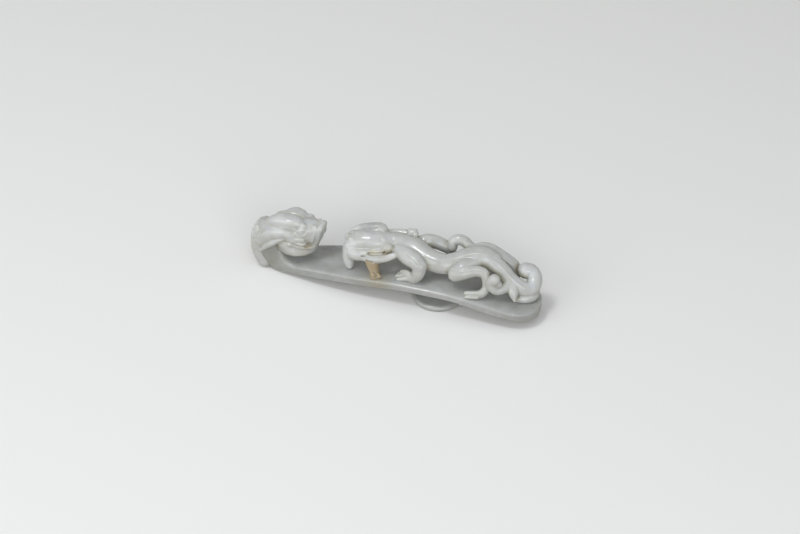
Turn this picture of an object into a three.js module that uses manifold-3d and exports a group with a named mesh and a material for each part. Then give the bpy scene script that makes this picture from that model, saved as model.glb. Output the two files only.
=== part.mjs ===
// Belt hook of white nephrite jade, in the manner of the Qing court workshops.
// A curved plate rises at one end into a neck, which turns back over it as a dragon's head: that is the hook.
// A young dragon (a chilong) is carved in openwork on the plate and faces the head, with a sprig of lingzhi.
// Under the plate stands a round button, which buttons into a slit in the belt.
//
// The real object is cut from one pebble. Here each carved form is a solid of its own, and a thin seam
// parts it from the form that it grows out of.
//
// Frame, in millimetres: origin at the centre of the button's outer face, +X towards the tail end, +Z up.
// The hook rests on the button and on the heel of its neck, both at Z = 0.

import * as THREE from "three";
import { mergeVertices } from "three/addons/utils/BufferGeometryUtils.js";
import Module from "manifold-3d";

const wasm = await Module();
wasm.setup();

// Driving dimensions.

const seam = 0.3; // gap between one carved form and the next

const hookReach = 58; // button axis to the foot of the neck
const tailReach = 38.2; // button axis to the tail end
const plateHalfWidth = 10.4;
const plateThickness = 3.5;
const crownHeight = 10.4; // top of the plate over the table, at its crown

const neckReach = 11.35; // foot of the neck to its outer face
const neckHalfWidth = 5.5;
const footLength = 12; // how far on either side of the neck's foot the section changes
const filletReach = 6; // how far out on the plate the stone that fills the throat's corner begins
const filletHeight = 3.2; // how high that stone stands over the plate at the neck's foot

const buttonRadius = 9.4;
const buttonThickness = 2.3;
const buttonFaceRadius = 8;
const stemRadius = 3;
const stemFlare = 1.1; // how much wider the stem's root is under the plate

const throatHeight = 5.5; // plate at the neck's foot to the head's floor, which the jaw hangs a little below
const headLength = 22.8;
const headHalfWidth = 7;
const headHeight = 15;
const maneRelief = 2.3; // how far the mane stands out of the neck
const maneScallops = 6; // curls down its back

const reliefHeight = 15; // top of the young dragon over the plate
const torsoGirth = 4.5; // half thickness of the torso at the shoulders
const limbGirth = 3; // half thickness of a thigh
const tailGirth = 2.9; // half thickness of the tail
const crestGirth = 2; // half thickness of the crest on the young dragon's head
const jawGirth = 1.4;
const sprigGirth = 2.2;

const sides = 10; // sides of a carved limb
const slimSides = 8; // sides of a slim one
const broadSides = 14; // sides of the torso and of the young dragon's head
const skullSides = 16;
const plateSides = 20;
const neckSteps = 14;
const discSides = 32;

// Colours of the stone.

const whiteJade = new THREE.MeshStandardMaterial({ name: "white_jade", color: "#d3d5cc", roughness: 0.22 });
const russetJade = new THREE.MeshStandardMaterial({ name: "russet_jade", color: "#c9b795", roughness: 0.25 });

const up = new THREE.Vector3(0, 0, 1);
const sideways = new THREE.Vector3(0, 1, 0);

// Shape tools. Each carved form is a function of a growth, so that the form beside it can be cut clear of it.

function solidOf(geometry) {
  const plain = geometry.index ? geometry.toNonIndexed() : geometry.clone();
  plain.deleteAttribute("normal");
  plain.deleteAttribute("uv");
  const merged = mergeVertices(plain, 1e-5);
  const corners = merged.index.array;
  const kept = [];
  for (let i = 0; i < corners.length; i += 3) {
    const [a, b, c] = [corners[i], corners[i + 1], corners[i + 2]];
    if (a !== b && b !== c && c !== a) kept.push(a, b, c);
  }
  return new wasm.Manifold(
    new wasm.Mesh({
      numProp: 3,
      vertProperties: merged.attributes.position.array,
      triVerts: new Uint32Array(kept),
    }),
  );
}

function geometryOf(solid) {
  const { numProp, numVert, vertProperties, triVerts } = solid.getMesh();
  const positions = new Float32Array(numVert * 3);
  for (let i = 0; i < numVert; i++)
    positions.set(vertProperties.subarray(i * numProp, i * numProp + 3), i * 3);
  const geometry = new THREE.BufferGeometry();
  geometry.setAttribute("position", new THREE.BufferAttribute(positions, 3));
  geometry.setIndex(new THREE.BufferAttribute(new Uint32Array(triVerts), 1));
  geometry.computeVertexNormals();
  return geometry;
}

// A closed skin through rings of equal count, each running anticlockwise seen from the next one.
function loft(rings, startTip, endTip) {
  const count = rings[0].length;
  const positions = [...rings.flat(), startTip, endTip].flatMap((p) => p.toArray());
  const start = rings.length * count;
  const index = [];
  for (let j = 0; j < count; j++) {
    const next = (j + 1) % count;
    index.push(start, next, j);
    index.push(start + 1, start - count + j, start - count + next);
    for (let i = 0; i < rings.length - 1; i++) {
      const [a, b] = [i * count + j, i * count + next];
      index.push(a, b, a + count, b, b + count, a + count);
    }
  }
  const geometry = new THREE.BufferGeometry();
  geometry.setAttribute("position", new THREE.Float32BufferAttribute(positions, 3));
  geometry.setIndex(index);
  return solidOf(geometry);
}

// A rounded section: squareness 1 is an ellipse, and a smaller value is nearer to a rectangle.
function section(centre, across, over, halfWidth, halfHeight, count, squareness = 1) {
  const bulge = (v) => Math.sign(v) * Math.abs(v) ** squareness;
  return Array.from({ length: count }, (_, j) => {
    const angle = (2 * Math.PI * (j + 0.5)) / count;
    return centre
      .clone()
      .addScaledVector(across, halfWidth * bulge(Math.cos(angle)))
      .addScaledVector(over, halfHeight * bulge(Math.sin(angle)));
  });
}

// A limb swept along a smooth curve, with its own half width and half height at each point and round ends.
// In a tight bend, a corner that would fall behind the last ring stays on it, so that the skin never folds.
const roundEndShares = [0.5, 0.87]; // sines of 30 and 60 degrees: where the rings of a round end lie

function limb(points, halves, { over = up, rings = 14, count = sides, squareness = 0.9 } = {}, growth = 0) {
  const path = new THREE.CatmullRomCurve3(points);
  const sizes = new THREE.CatmullRomCurve3(halves.map(([wide, tall]) => new THREE.Vector3(wide, tall, 0)));
  const normal = over.clone();
  const skin = [];
  const addRing = (t, shift, share) => {
    const tangent = path.getTangent(t);
    normal.addScaledVector(tangent, -normal.dot(tangent)).normalize();
    const across = normal.clone().cross(tangent);
    const { x: wide, y: tall } = sizes.getPoint(t).addScalar(growth).multiplyScalar(share);
    const ring = section(reachAt(t, shift), across, normal, wide, tall, count, squareness);
    const last = skin.at(-1) ?? ring;
    const isBehind = (corner, j) => corner.clone().sub(last[j]).dot(tangent) < 0;
    skin.push(ring.map((corner, j) => (isBehind(corner, j) ? last[j].clone() : corner)));
  };
  const reachAt = (t, shift) => {
    const size = sizes.getPoint(t);
    const reach = (Math.min(size.x, size.y) + growth) * shift;
    return path.getPoint(t).addScaledVector(path.getTangent(t), reach);
  };
  for (const s of [...roundEndShares].reverse()) addRing(0, -s, Math.sqrt(1 - s * s));
  for (let i = 0; i <= rings; i++) addRing(i / rings, 0, 1);
  for (const s of roundEndShares) addRing(1, s, Math.sqrt(1 - s * s));
  return loft(skin, reachAt(0, -1), reachAt(1, 1));
}

function ellipsoid(centre, radii, growth = 0, count = sides) {
  const ball = new THREE.SphereGeometry(1, count, count / 2);
  const size = new THREE.Vector3(...radii).addScalar(growth);
  const place = new THREE.Matrix4().compose(centre, new THREE.Quaternion(), size);
  return solidOf(ball.applyMatrix4(place));
}

const joined = (solids) => solids.reduce((whole, next) => whole.add(next));

// A smooth curve through a table's columns, which never swings past its points.
function curveThrough(xs, ys) {
  const slopes = xs.slice(1).map((x, i) => (ys[i + 1] - ys[i]) / (x - xs[i]));
  const tangents = ys.map((_, i) => {
    if (i === 0 || i === ys.length - 1) return slopes[Math.min(i, slopes.length - 1)];
    return slopes[i - 1] * slopes[i] > 0 ? (2 * slopes[i - 1] * slopes[i]) / (slopes[i - 1] + slopes[i]) : 0;
  });
  return (x) => {
    let i = xs.findIndex((edge) => edge > x) - 1;
    if (i === -1) i = 0;
    if (i === -2) i = xs.length - 2;
    const width = xs[i + 1] - xs[i];
    const t = THREE.MathUtils.clamp((x - xs[i]) / width, 0, 1);
    const rise = ys[i + 1] - ys[i];
    const lean = tangents[i] * width;
    const bend = 3 * rise - (2 * tangents[i] + tangents[i + 1]) * width;
    const turn = (tangents[i] + tangents[i + 1]) * width - 2 * rise;
    return ys[i] + t * (lean + t * (bend + t * turn));
  };
}

// The plate. A station runs from -1 at the foot of the neck, over 0 at the button, to 1 at the tail end.

const plateShares = {
  station: [-1, -0.81, -0.66, -0.45, -0.17, 0.1, 0.28, 0.46, 0.72, 0.88, 1],
  top: [0.43, 0.64, 0.75, 0.865, 0.98, 1, 0.968, 0.905, 0.765, 0.68, 0.64],
  width: [0.6, 0.78, 0.885, 0.955, 0.98, 0.99, 0.995, 1, 1, 1, 1],
  thickness: [1.23, 1.31, 1.25, 1.19, 1.02, 1, 1, 1.2, 1.19, 1.12, 1.08],
};
const plateTopShare = curveThrough(plateShares.station, plateShares.top);
const plateWidthShare = curveThrough(plateShares.station, plateShares.width);
const plateThicknessShare = curveThrough(plateShares.station, plateShares.thickness);
const tailRoundShare = 0.58; // the tail end's outline starts to close in at this station
const tailRoundPower = 2.8; // a blunt oval: 2 would be a plain ellipse
const plateStationShares = [
  -1, -0.965, -0.93, -0.88, -0.82, -0.75, -0.66, -0.56, -0.45, -0.34, -0.23, -0.12, 0, 0.12, 0.25, 0.38,
  0.5, 0.6, 0.69, 0.77, 0.84, 0.9, 0.945, 0.975, 0.992,
];
const plateSquareness = 0.34; // a nearly rectangular section with soft edges
const footSquareness = 0.5;
const neckSquareness = 0.72;

const reachOf = (station) => station * (station < 0 ? hookReach : tailReach);
const plateTop = (station) => crownHeight * plateTopShare(station);
const plateDepth = (station) => plateThickness * plateThicknessShare(station);
// how much of the foot's own section is left at a distance from it
const footLikeness = (distance) => 1 - THREE.MathUtils.smoothstep(distance, 0, footLength);

function tailClosing(station) {
  const along = Math.max(0, (station - tailRoundShare) / (1 - tailRoundShare));
  return (1 - along ** tailRoundPower) ** (1 / tailRoundPower);
}

// A ring from a point of the outer face to one of the inner side, widest at a share of the way between them.
function profileRing(outer, inner, halfWidth, belly, squareness) {
  const span = inner.clone().sub(outer);
  const over = span.clone().normalize();
  const centre = outer.clone().lerp(inner, belly);
  const ring = section(centre, sideways, over, halfWidth, span.length() / 2, plateSides, squareness);
  return ring.map((corner) => {
    const rise = corner.clone().sub(centre).dot(over);
    return corner.addScaledVector(over, Math.abs(rise) * (1 - 2 * belly));
  });
}

function plateProfile(station) {
  const fromFoot = reachOf(station) + hookReach;
  const depth = plateDepth(station);
  const fillet = filletHeight * Math.max(0, 1 - fromFoot / filletReach) ** 2;
  const atTop = new THREE.Vector3(reachOf(station), 0, plateTop(station) + fillet);
  return {
    outer: atTop.clone().setZ(plateTop(station) - depth),
    inner: atTop,
    halfWidth: plateHalfWidth * plateWidthShare(station),
    belly: depth / 2 / (depth + fillet),
    squareness: THREE.MathUtils.lerp(plateSquareness, footSquareness, footLikeness(fromFoot)),
  };
}

function plateRing(station, growth) {
  const { outer, inner, halfWidth, belly, squareness } = plateProfile(station);
  outer.z -= growth;
  inner.z += growth;
  return profileRing(outer, inner, halfWidth * tailClosing(station) + growth, belly, squareness);
}

// The neck runs on from the plate, turns up behind it and back over it. Its profile is drawn by pairs of
// points on the outer face and on the throat's side: [share of the reach, share of the rise over the table].
// The belly is where it is widest, as a share of the way from the outer face.

const headFloor = plateTop(-1) + throatHeight;
const neckTopShare = 0.73; // the neck's top, as a share of the head's height
const neckRise = headFloor + neckTopShare * headHeight;
const neckShares = [
  { outer: [0.21, -0.006], inner: [0.044, 0.394], width: 1.07, belly: 0.34 },
  { outer: [0.44, -0.003], inner: [0.079, 0.425], width: 1.01, belly: 0.4 },
  { outer: [0.687, 0.065], inner: [0.115, 0.459], width: 0.99, belly: 0.46 },
  { outer: [0.89, 0.191], inner: [0.145, 0.497], width: 0.99, belly: 0.5 },
  { outer: [0.987, 0.359], inner: [0.167, 0.535], width: 1, belly: 0.5 },
  { outer: [1, 0.526], inner: [0.176, 0.574], width: 1, belly: 0.5 },
  { outer: [0.934, 0.717], inner: [0.176, 0.602], width: 1, belly: 0.5 },
  { outer: [0.74, 0.88], inner: [0.159, 0.626], width: 1, belly: 0.5 },
  { outer: [0.44, 0.978], inner: [0.115, 0.64], width: 0.96, belly: 0.5 },
  { outer: [0.053, 0.982], inner: [0, 0.65], width: 0.8, belly: 0.5 },
];
const neckFoot = plateProfile(-1);
const neckPoint = ([back, rise]) => new THREE.Vector3(-hookReach - back * neckReach, 0, rise * neckRise);
const neckOuter = new THREE.CatmullRomCurve3([neckFoot.outer, ...neckShares.map((s) => neckPoint(s.outer))]);
const neckInner = new THREE.CatmullRomCurve3([neckFoot.inner, ...neckShares.map((s) => neckPoint(s.inner))]);
const neckSizes = new THREE.CatmullRomCurve3([
  new THREE.Vector3(neckFoot.halfWidth, neckFoot.belly, 0),
  ...neckShares.map(({ width, belly }) => new THREE.Vector3(width * neckHalfWidth, belly, 0)),
]);

function neckRing(t, growth) {
  const outer = neckOuter.getPoint(t);
  const inner = neckInner.getPoint(t);
  const over = inner.clone().sub(outer).normalize();
  const { x: halfWidth, y: belly } = neckSizes.getPoint(t);
  const likeness = footLikeness(outer.distanceTo(neckFoot.outer));
  const squareness = THREE.MathUtils.lerp(neckSquareness, footSquareness, likeness);
  outer.addScaledVector(over, -growth);
  inner.addScaledVector(over, growth);
  return profileRing(outer, inner, halfWidth + growth, belly, squareness);
}

function hookShank(growth) {
  // the rings run from the head, down the neck and out to the tail end
  const rings = [];
  for (let i = neckSteps; i > 0; i--) rings.push(neckRing(i / neckSteps, growth));
  rings.push(...plateStationShares.map((station) => plateRing(station, growth)));
  const neckEnd = neckOuter.getPoint(1).lerp(neckInner.getPoint(1), neckShares.at(-1).belly);
  neckEnd.x += growth;
  const tip = new THREE.Vector3(tailReach + growth, 0, plateTop(1) - plateDepth(1) / 2);
  const whole = loft(rings, neckEnd, tip);
  return growth > 0 ? whole : onTable(whole);
}

// The heel of the neck is polished flat where it rests.
function onTable(solid) {
  const table = new THREE.BoxGeometry(4 * hookReach, 4 * plateHalfWidth, crownHeight);
  return solid.subtract(solidOf(table.translate(0, 0, -crownHeight / 2)));
}

// The button: a round disc with a full edge on a short stem.

function turned(points) {
  const profile = points.map(([radius, height]) => new THREE.Vector2(radius, height));
  const lathe = new THREE.LatheGeometry(profile, discSides);
  lathe.rotateX(Math.PI / 2);
  return solidOf(lathe);
}

// The disc's edge, from its outer face upwards: reach past the face's rim as a share of the way to the full
// radius, and height as a share of the thickness.
const discEdgeShares = [
  [0.67, 0.12],
  [1, 0.35],
  [1, 0.65],
  [0.67, 0.9],
];

function buttonDisc(growth) {
  const edge = discEdgeShares.map(([reach, height]) => [
    THREE.MathUtils.lerp(buttonFaceRadius, buttonRadius, reach) + growth,
    THREE.MathUtils.lerp(-growth, buttonThickness + growth, height),
  ]);
  const strapSeatRadius = stemRadius + stemFlare + 2 * seam; // the belt bears on the flat ring outside this
  const top = buttonThickness + growth;
  return turned([
    [0, -growth],
    [buttonFaceRadius + growth, -growth],
    ...edge,
    [buttonFaceRadius + growth, top],
    [strapSeatRadius + growth, top],
    [0, top],
  ]);
}

const stemHeightShares = [0, 0.05, 0.25, 0.5, 0.75, 0.95, 1]; // where the stem's rings lie
const stemRootShare = 0.25; // how deep each root reaches into what it grows from, as a share of its thickness

// The stem flares at both roots, and its own roots are cut off flush by the disc and the plate.
function buttonStem(growth) {
  const underside = plateTop(0) - plateDepth(0);
  const gap = underside - buttonThickness;
  const wall = stemHeightShares.map((share) => {
    const flare = (2 * share - 1) ** 4; // full at both roots, slim between them
    return [stemRadius + stemFlare * flare + growth, buttonThickness + share * gap];
  });
  const head = underside + stemRootShare * plateThickness;
  const foot = (1 - stemRootShare) * buttonThickness;
  return turned([[0, foot], [wall[0][0], foot], ...wall, [wall.at(-1)[0], head], [0, head]]);
}

// The dragon's head. Places in it are shares: along from its back to its nose, across from its middle plane,
// and rise from the head's floor to the crown.

const headBackShare = 0.71; // the skull's back, as a share of the neck's reach
const headBack = -hookReach - headBackShare * neckReach;
const inHead = ([along, across, rise]) =>
  new THREE.Vector3(headBack + along * headLength, across * headHalfWidth, headFloor + rise * headHeight);
const headHalves = ([wide, tall]) => [wide * headHalfWidth, tall * headHeight];
const headBox = ([long, wide, tall]) => [long * headLength, wide * headHalfWidth, tall * headHeight];

function headLimb(shares, options, growth) {
  const points = shares.map(({ at }) => inHead(at));
  const halves = shares.map(({ half }) => headHalves(half));
  return limb(points, halves, options, growth);
}

function mirrored(shares) {
  return shares.map(({ at: [along, across, rise], half }) => ({ at: [along, -across, rise], half }));
}

const skullSquareness = 0.75;
const skullShares = [
  { at: [0.02, 0, 0.36], half: [0.66, 0.23] },
  { at: [0.12, 0, 0.42], half: [0.78, 0.26] },
  { at: [0.25, 0, 0.52], half: [0.87, 0.3] },
  { at: [0.39, 0, 0.55], half: [0.92, 0.3] },
  { at: [0.57, 0, 0.54], half: [0.88, 0.31] },
  { at: [0.7, 0, 0.57], half: [0.76, 0.27] },
];

const muzzleSquareness = 0.62;
const upperLipShares = [
  { at: [0.6, 0, 0.5], half: [0.84, 0.2] },
  { at: [0.72, 0, 0.5], half: [0.74, 0.18] },
  { at: [0.8, 0, 0.5], half: [0.66, 0.16] },
  { at: [0.87, 0, 0.5], half: [0.42, 0.14] },
];
const noseShares = [
  { at: [0.62, 0, 0.66], half: [0.62, 0.16] },
  { at: [0.76, 0, 0.68], half: [0.58, 0.16] },
  { at: [0.85, 0, 0.71], half: [0.5, 0.15] },
  { at: [0.92, 0, 0.74], half: [0.34, 0.14] },
  { at: [0.96, 0, 0.76], half: [0.18, 0.12] },
];

function dragonSkull(growth) {
  const muzzle = { rings: 5, count: sides, squareness: muzzleSquareness };
  const parts = [
    headLimb(skullShares, { rings: 10, count: skullSides, squareness: skullSquareness }, growth),
    headLimb(upperLipShares, muzzle, growth),
    headLimb(noseShares, muzzle, growth),
  ];
  const studs = [
    { at: [0.665, 0.77, 0.68], size: [0.05, 0.15, 0.08] }, // eye
    { at: [0.715, 0.44, 0.8], size: [0.08, 0.24, 0.11] }, // brow knob
    { at: [0.94, 0.3, 0.76], size: [0.055, 0.2, 0.08] }, // nostril
    { at: [0.56, 0.86, 0.44], size: [0.2, 0.13, 0.09] }, // cheek
  ];
  for (const { at: [along, across, rise], size } of studs)
    for (const side of [-1, 1])
      parts.push(ellipsoid(inHead([along, side * across, rise]), headBox(size), growth, slimSides));
  return joined(parts);
}

const jawShares = [
  { at: [0.33, 0, 0.15], half: [0.7, 0.18] },
  { at: [0.42, 0, 0.1], half: [0.94, 0.22] },
  { at: [0.52, 0, 0.1], half: [0.97, 0.22] },
  { at: [0.64, 0, 0.125], half: [0.86, 0.175] },
  { at: [0.74, 0, 0.16], half: [0.7, 0.125] },
  { at: [0.8, 0, 0.19], half: [0.56, 0.09] },
];

const jawSquareness = 0.55; // flatter underneath than the skull

function dragonLowerJaw(growth) {
  return headLimb(jawShares, { rings: 7, count: skullSides, squareness: jawSquareness }, growth);
}

const hornShares = [
  { at: [0.13, -0.36, 0.6], half: [0.24, 0.12] },
  { at: [0.21, -0.38, 0.74], half: [0.38, 0.17] },
  { at: [0.38, -0.38, 0.79], half: [0.45, 0.165] },
  { at: [0.54, -0.38, 0.79], half: [0.4, 0.15] },
  { at: [0.64, -0.37, 0.765], half: [0.26, 0.1] },
];

// the left horn rises later from the skull
const leftHornShares = [
  { at: [0.13, 0.36, 0.52], half: [0.24, 0.12] },
  { at: [0.21, 0.38, 0.61], half: [0.38, 0.17] },
  { at: [0.38, 0.38, 0.735], half: [0.45, 0.165] },
  { at: [0.54, 0.38, 0.8], half: [0.4, 0.15] },
  { at: [0.64, 0.37, 0.765], half: [0.26, 0.1] },
];

const earShares = [
  { at: [0.37, -0.93, 0.425], half: [0.07, 0.035] },
  { at: [0.2, -0.92, 0.26], half: [0.14, 0.085] },
  { at: [0.05, -0.82, 0.05], half: [0.13, 0.07] },
  { at: [-0.03, -0.75, -0.1], half: [0.08, 0.04] },
];
const earLockShares = [
  { at: [0.6, -0.82, 0.54], half: [0.06, 0.05] },
  { at: [0.45, -0.84, 0.56], half: [0.16, 0.1] },
  { at: [0.25, -0.84, 0.5], half: [0.2, 0.15] },
  { at: [0.08, -0.78, 0.33], half: [0.2, 0.16] },
  { at: [-0.04, -0.66, 0.13], half: [0.18, 0.14] },
];

// An ear is a broad lock of hair that sweeps back from the cheek, with a slimmer one under it.
const dragonEar = (turn) => (growth) =>
  joined([
    headLimb(turn(earShares), { rings: 5, count: slimSides }, growth),
    headLimb(turn(earLockShares), { rings: 6, count: slimSides }, growth),
  ]);
const asDrawn = (shares) => shares;

// The mane: a thick band down the neck's back, scalloped into curls, with a rolled knob at its top.
const maneSpanShares = [0.295, 0.715]; // where it runs, along the neck's outer face
const maneWidthShare = 0.98; // of the neck's width
const maneSquareness = 0.7;
const maneThicknessShare = 1.5; // of the relief: its inner part is sunk in the neck, which cuts it off
const maneRippleShare = 0.07; // how deep the scallops are, of half its thickness
// the knob's radius, half width and depth, as shares of the band's half thickness, half width and relief
const maneKnobShares = { round: 1.2, wide: 0.87, sunk: 0.5 };
const stepsPerScallop = 4;

function dragonMane(growth) {
  const half = (maneThicknessShare * maneRelief) / 2;
  const halfWidth = maneWidthShare * neckHalfWidth;
  const steps = stepsPerScallop * maneScallops;
  const points = [];
  const halves = [];
  for (let i = 0; i <= steps; i++) {
    const t = THREE.MathUtils.lerp(...maneSpanShares, i / steps);
    const outward = neckOuter.getTangent(t).cross(sideways);
    points.push(neckOuter.getPoint(t).addScaledVector(outward, maneRelief - half));
    const ripple = maneRippleShare * Math.cos((2 * Math.PI * i) / stepsPerScallop);
    halves.push([half * (1 + ripple), halfWidth]);
  }
  const band = limb(points, halves, { over: sideways, rings: steps, squareness: maneSquareness }, growth);
  const knobRadius = half * maneKnobShares.round;
  const knobSize = [knobRadius, halfWidth * maneKnobShares.wide, knobRadius];
  const inward = sideways.clone().cross(neckOuter.getTangent(maneSpanShares[1]));
  const knobAt = points[steps].clone().addScaledVector(inward, maneRelief * maneKnobShares.sunk);
  return onTable(band.add(ellipsoid(knobAt, knobSize, growth, slimSides)));
}

// The young dragon. Places are shares: along the plate as its stations, across its half width, and rise over
// its top as a share of the relief. Halves are shares of the girth named with the form.

const onPlate = ([along, across, rise]) =>
  new THREE.Vector3(reachOf(along), across * plateHalfWidth, plateTop(along) + rise * reliefHeight);

function plateLimb(shares, girth, options, growth) {
  const halves = shares.map(({ half: [wide, tall = wide] }) => [wide * girth, tall * girth]);
  return limb(shares.map(({ at }) => onPlate(at)), halves, options, growth);
}

const torsoShares = [
  { at: [-0.34, 0.26, 0.6], half: [0.72] },
  { at: [-0.26, 0.27, 0.56], half: [0.86] },
  { at: [-0.17, 0.15, 0.52], half: [0.98] },
  { at: [-0.095, -0.02, 0.46], half: [0.94] },
  { at: [-0.02, -0.15, 0.44], half: [0.86] },
  { at: [0.085, -0.15, 0.43], half: [0.82] },
  { at: [0.19, 0.05, 0.46], half: [0.86] },
  { at: [0.29, 0.24, 0.55], half: [0.94] },
  { at: [0.4, 0.32, 0.63], half: [0.94] },
  { at: [0.5, 0.3, 0.65], half: [0.74] },
];

const tailShares = [
  { at: [0.482, 0.26, 0.63], half: [1.08] },
  { at: [0.55, 0.19, 0.61], half: [1.05] },
  { at: [0.62, 0.1, 0.54], half: [1.02] },
  { at: [0.69, 0.03, 0.43], half: [1] },
  { at: [0.76, 0.01, 0.33], half: [1.02] },
  { at: [0.82, 0.03, 0.27], half: [1.02] },
  { at: [0.872, 0.13, 0.25], half: [1] },
  { at: [0.905, 0.33, 0.32], half: [0.98] },
  { at: [0.895, 0.54, 0.43], half: [0.95] },
  { at: [0.85, 0.66, 0.5], half: [0.92] },
  { at: [0.8, 0.63, 0.51], half: [0.95] },
];

const tailBranchShares = [
  { at: [0.729, 0, 0.42], half: [0.72] },
  { at: [0.7, -0.21, 0.36], half: [0.68] },
  { at: [0.657, -0.385, 0.31], half: [0.64] },
  { at: [0.612, -0.5, 0.29], half: [0.63] },
  { at: [0.57, -0.56, 0.37], half: [0.63] },
  { at: [0.556, -0.54, 0.49], half: [0.66] },
  { at: [0.585, -0.5, 0.57], half: [0.74] },
];

const tailSpurShares = [
  { at: [0.735, -0.14, 0.36], half: [0.8] },
  { at: [0.76, -0.32, 0.27], half: [0.62] },
  { at: [0.79, -0.52, 0.15], half: [0.14] },
];

const tailRestShares = [
  { at: [0.8, -0.24, 0.08], half: [0.42] },
  { at: [0.86, -0.12, 0.1], half: [0.6] },
  { at: [0.915, 0.1, 0.11], half: [0.68] },
  { at: [0.925, 0.34, 0.14], half: [0.6] },
];

const leftArmShares = [
  { at: [-0.24, -0.12, 0.53], half: [0.95] },
  { at: [-0.18, -0.33, 0.54], half: [1.06] },
  { at: [-0.122, -0.5, 0.53], half: [1] },
  { at: [-0.085, -0.6, 0.47], half: [0.88] },
];

const leftForearmShares = [
  { at: [-0.088, -0.6, 0.47], half: [0.86] },
  { at: [-0.09, -0.65, 0.32], half: [0.82] },
  { at: [-0.102, -0.66, 0.18], half: [0.7] },
  { at: [-0.13, -0.63, 0.09], half: [0.85, 0.56] },
  { at: [-0.165, -0.57, 0.07], half: [1, 0.46] },
  { at: [-0.195, -0.53, 0.05], half: [0.85, 0.34] },
];

const rightForelegShares = [
  { at: [-0.16, 0.5, 0.54], half: [0.8] },
  { at: [-0.113, 0.62, 0.59], half: [0.86] },
  { at: [-0.069, 0.75, 0.535], half: [0.84] },
  { at: [-0.018, 0.8, 0.46], half: [0.78] },
  { at: [0.035, 0.81, 0.38], half: [0.7] },
  { at: [0.06, 0.83, 0.22], half: [0.58] },
  { at: [0.04, 0.84, 0.07], half: [0.6, 0.42] },
];

const leftThighShares = [
  { at: [0.34, -0.08, 0.55], half: [1] },
  { at: [0.27, -0.3, 0.53], half: [1] },
  { at: [0.21, -0.48, 0.42], half: [0.88] },
];

const leftShankShares = [
  { at: [0.205, -0.5, 0.38], half: [0.84] },
  { at: [0.3, -0.45, 0.47], half: [0.74] },
  { at: [0.4, -0.39, 0.59], half: [0.68] },
  { at: [0.475, -0.4, 0.6], half: [0.62] },
  { at: [0.508, -0.47, 0.46], half: [0.54] },
  { at: [0.515, -0.56, 0.29], half: [0.52] },
  { at: [0.484, -0.66, 0.14], half: [0.7, 0.5] },
  { at: [0.42, -0.72, 0.08], half: [0.85, 0.42] },
  { at: [0.36, -0.75, 0.06], half: [0.75, 0.34] },
];

const rightHindlegShares = [
  { at: [0.075, 0.72, 0.5], half: [0.6] },
  { at: [0.075, 0.79, 0.63], half: [0.62] },
  { at: [0.124, 0.85, 0.69], half: [0.66] },
  { at: [0.183, 0.85, 0.67], half: [0.66] },
  { at: [0.24, 0.76, 0.62], half: [0.64] },
  { at: [0.303, 0.64, 0.63], half: [0.72] },
  { at: [0.365, 0.69, 0.7], half: [0.76] },
  { at: [0.435, 0.79, 0.67], half: [0.8] },
  { at: [0.511, 0.84, 0.57], half: [0.82] },
  { at: [0.599, 0.86, 0.47], half: [0.8] },
  { at: [0.672, 0.84, 0.38], half: [0.76] },
  { at: [0.7, 0.8, 0.2], half: [0.62] },
  { at: [0.66, 0.76, 0.07], half: [0.6, 0.42] },
];

const headMassShares = [
  { at: [-0.345, 0.16, 0.58], half: [0.84, 0.82] },
  { at: [-0.425, 0.05, 0.62], half: [0.88, 0.86] },
  { at: [-0.495, 0, 0.61], half: [0.92, 0.92] },
  { at: [-0.545, -0.08, 0.54], half: [0.88, 0.86] },
  { at: [-0.565, -0.22, 0.4], half: [0.68, 0.66] },
  { at: [-0.568, -0.36, 0.24], half: [0.5, 0.5] },
  { at: [-0.56, -0.44, 0.1], half: [0.38, 0.32] },
];

const gumShares = [
  { at: [-0.545, -0.24, 0.45], half: [0.42] },
  { at: [-0.49, -0.32, 0.46], half: [0.44] },
  { at: [-0.43, -0.36, 0.48], half: [0.4] },
  { at: [-0.37, -0.3, 0.52], half: [0.4] },
];

const crestShares = [
  { at: [-0.6, 0.16, 0.58], half: [0.8] },
  { at: [-0.575, 0.26, 0.69], half: [1] },
  { at: [-0.53, 0.33, 0.775], half: [1.1] },
  { at: [-0.477, 0.38, 0.81], half: [1.15] },
  { at: [-0.414, 0.42, 0.83], half: [1.2] },
  { at: [-0.385, 0.44, 0.82], half: [1.1] },
];

const maneStripShares = [
  { at: [-0.37, 0.5, 0.72], half: [0.55] },
  { at: [-0.31, 0.55, 0.74], half: [0.6] },
  { at: [-0.25, 0.58, 0.74], half: [0.66] },
  { at: [-0.205, 0.58, 0.68], half: [0.95] },
];

const lipShares = [
  { at: [-0.545, -0.4, 0.46], half: [0.85] },
  { at: [-0.484, -0.5, 0.43], half: [0.95] },
  { at: [-0.427, -0.56, 0.42], half: [1] },
  { at: [-0.366, -0.6, 0.45], half: [1] },
  { at: [-0.309, -0.56, 0.5], half: [0.95] },
  { at: [-0.262, -0.45, 0.56], half: [0.85] },
];

const sprigShares = [
  { at: [-0.4, -0.54, 0.33], half: [0.9] },
  { at: [-0.386, -0.64, 0.22], half: [0.86] },
  { at: [-0.376, -0.7, 0.11], half: [0.98] },
  { at: [-0.373, -0.72, 0.02], half: [0.95] },
];

function youngTorso(growth) {
  return plateLimb(torsoShares, torsoGirth, { rings: 21, count: broadSides }, growth);
}

const youngEarShares = { at: [-0.33, -0.2, 0.6], size: [0.6, 0.5, 0.6] };

function youngHead(growth) {
  const earSize = youngEarShares.size.map((share) => share * torsoGirth);
  return joined([
    plateLimb(headMassShares, torsoGirth, { count: broadSides }, growth),
    plateLimb(gumShares, torsoGirth, { rings: 5, count: slimSides }, growth),
    ellipsoid(onPlate(youngEarShares.at), earSize, growth),
  ]);
}

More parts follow.
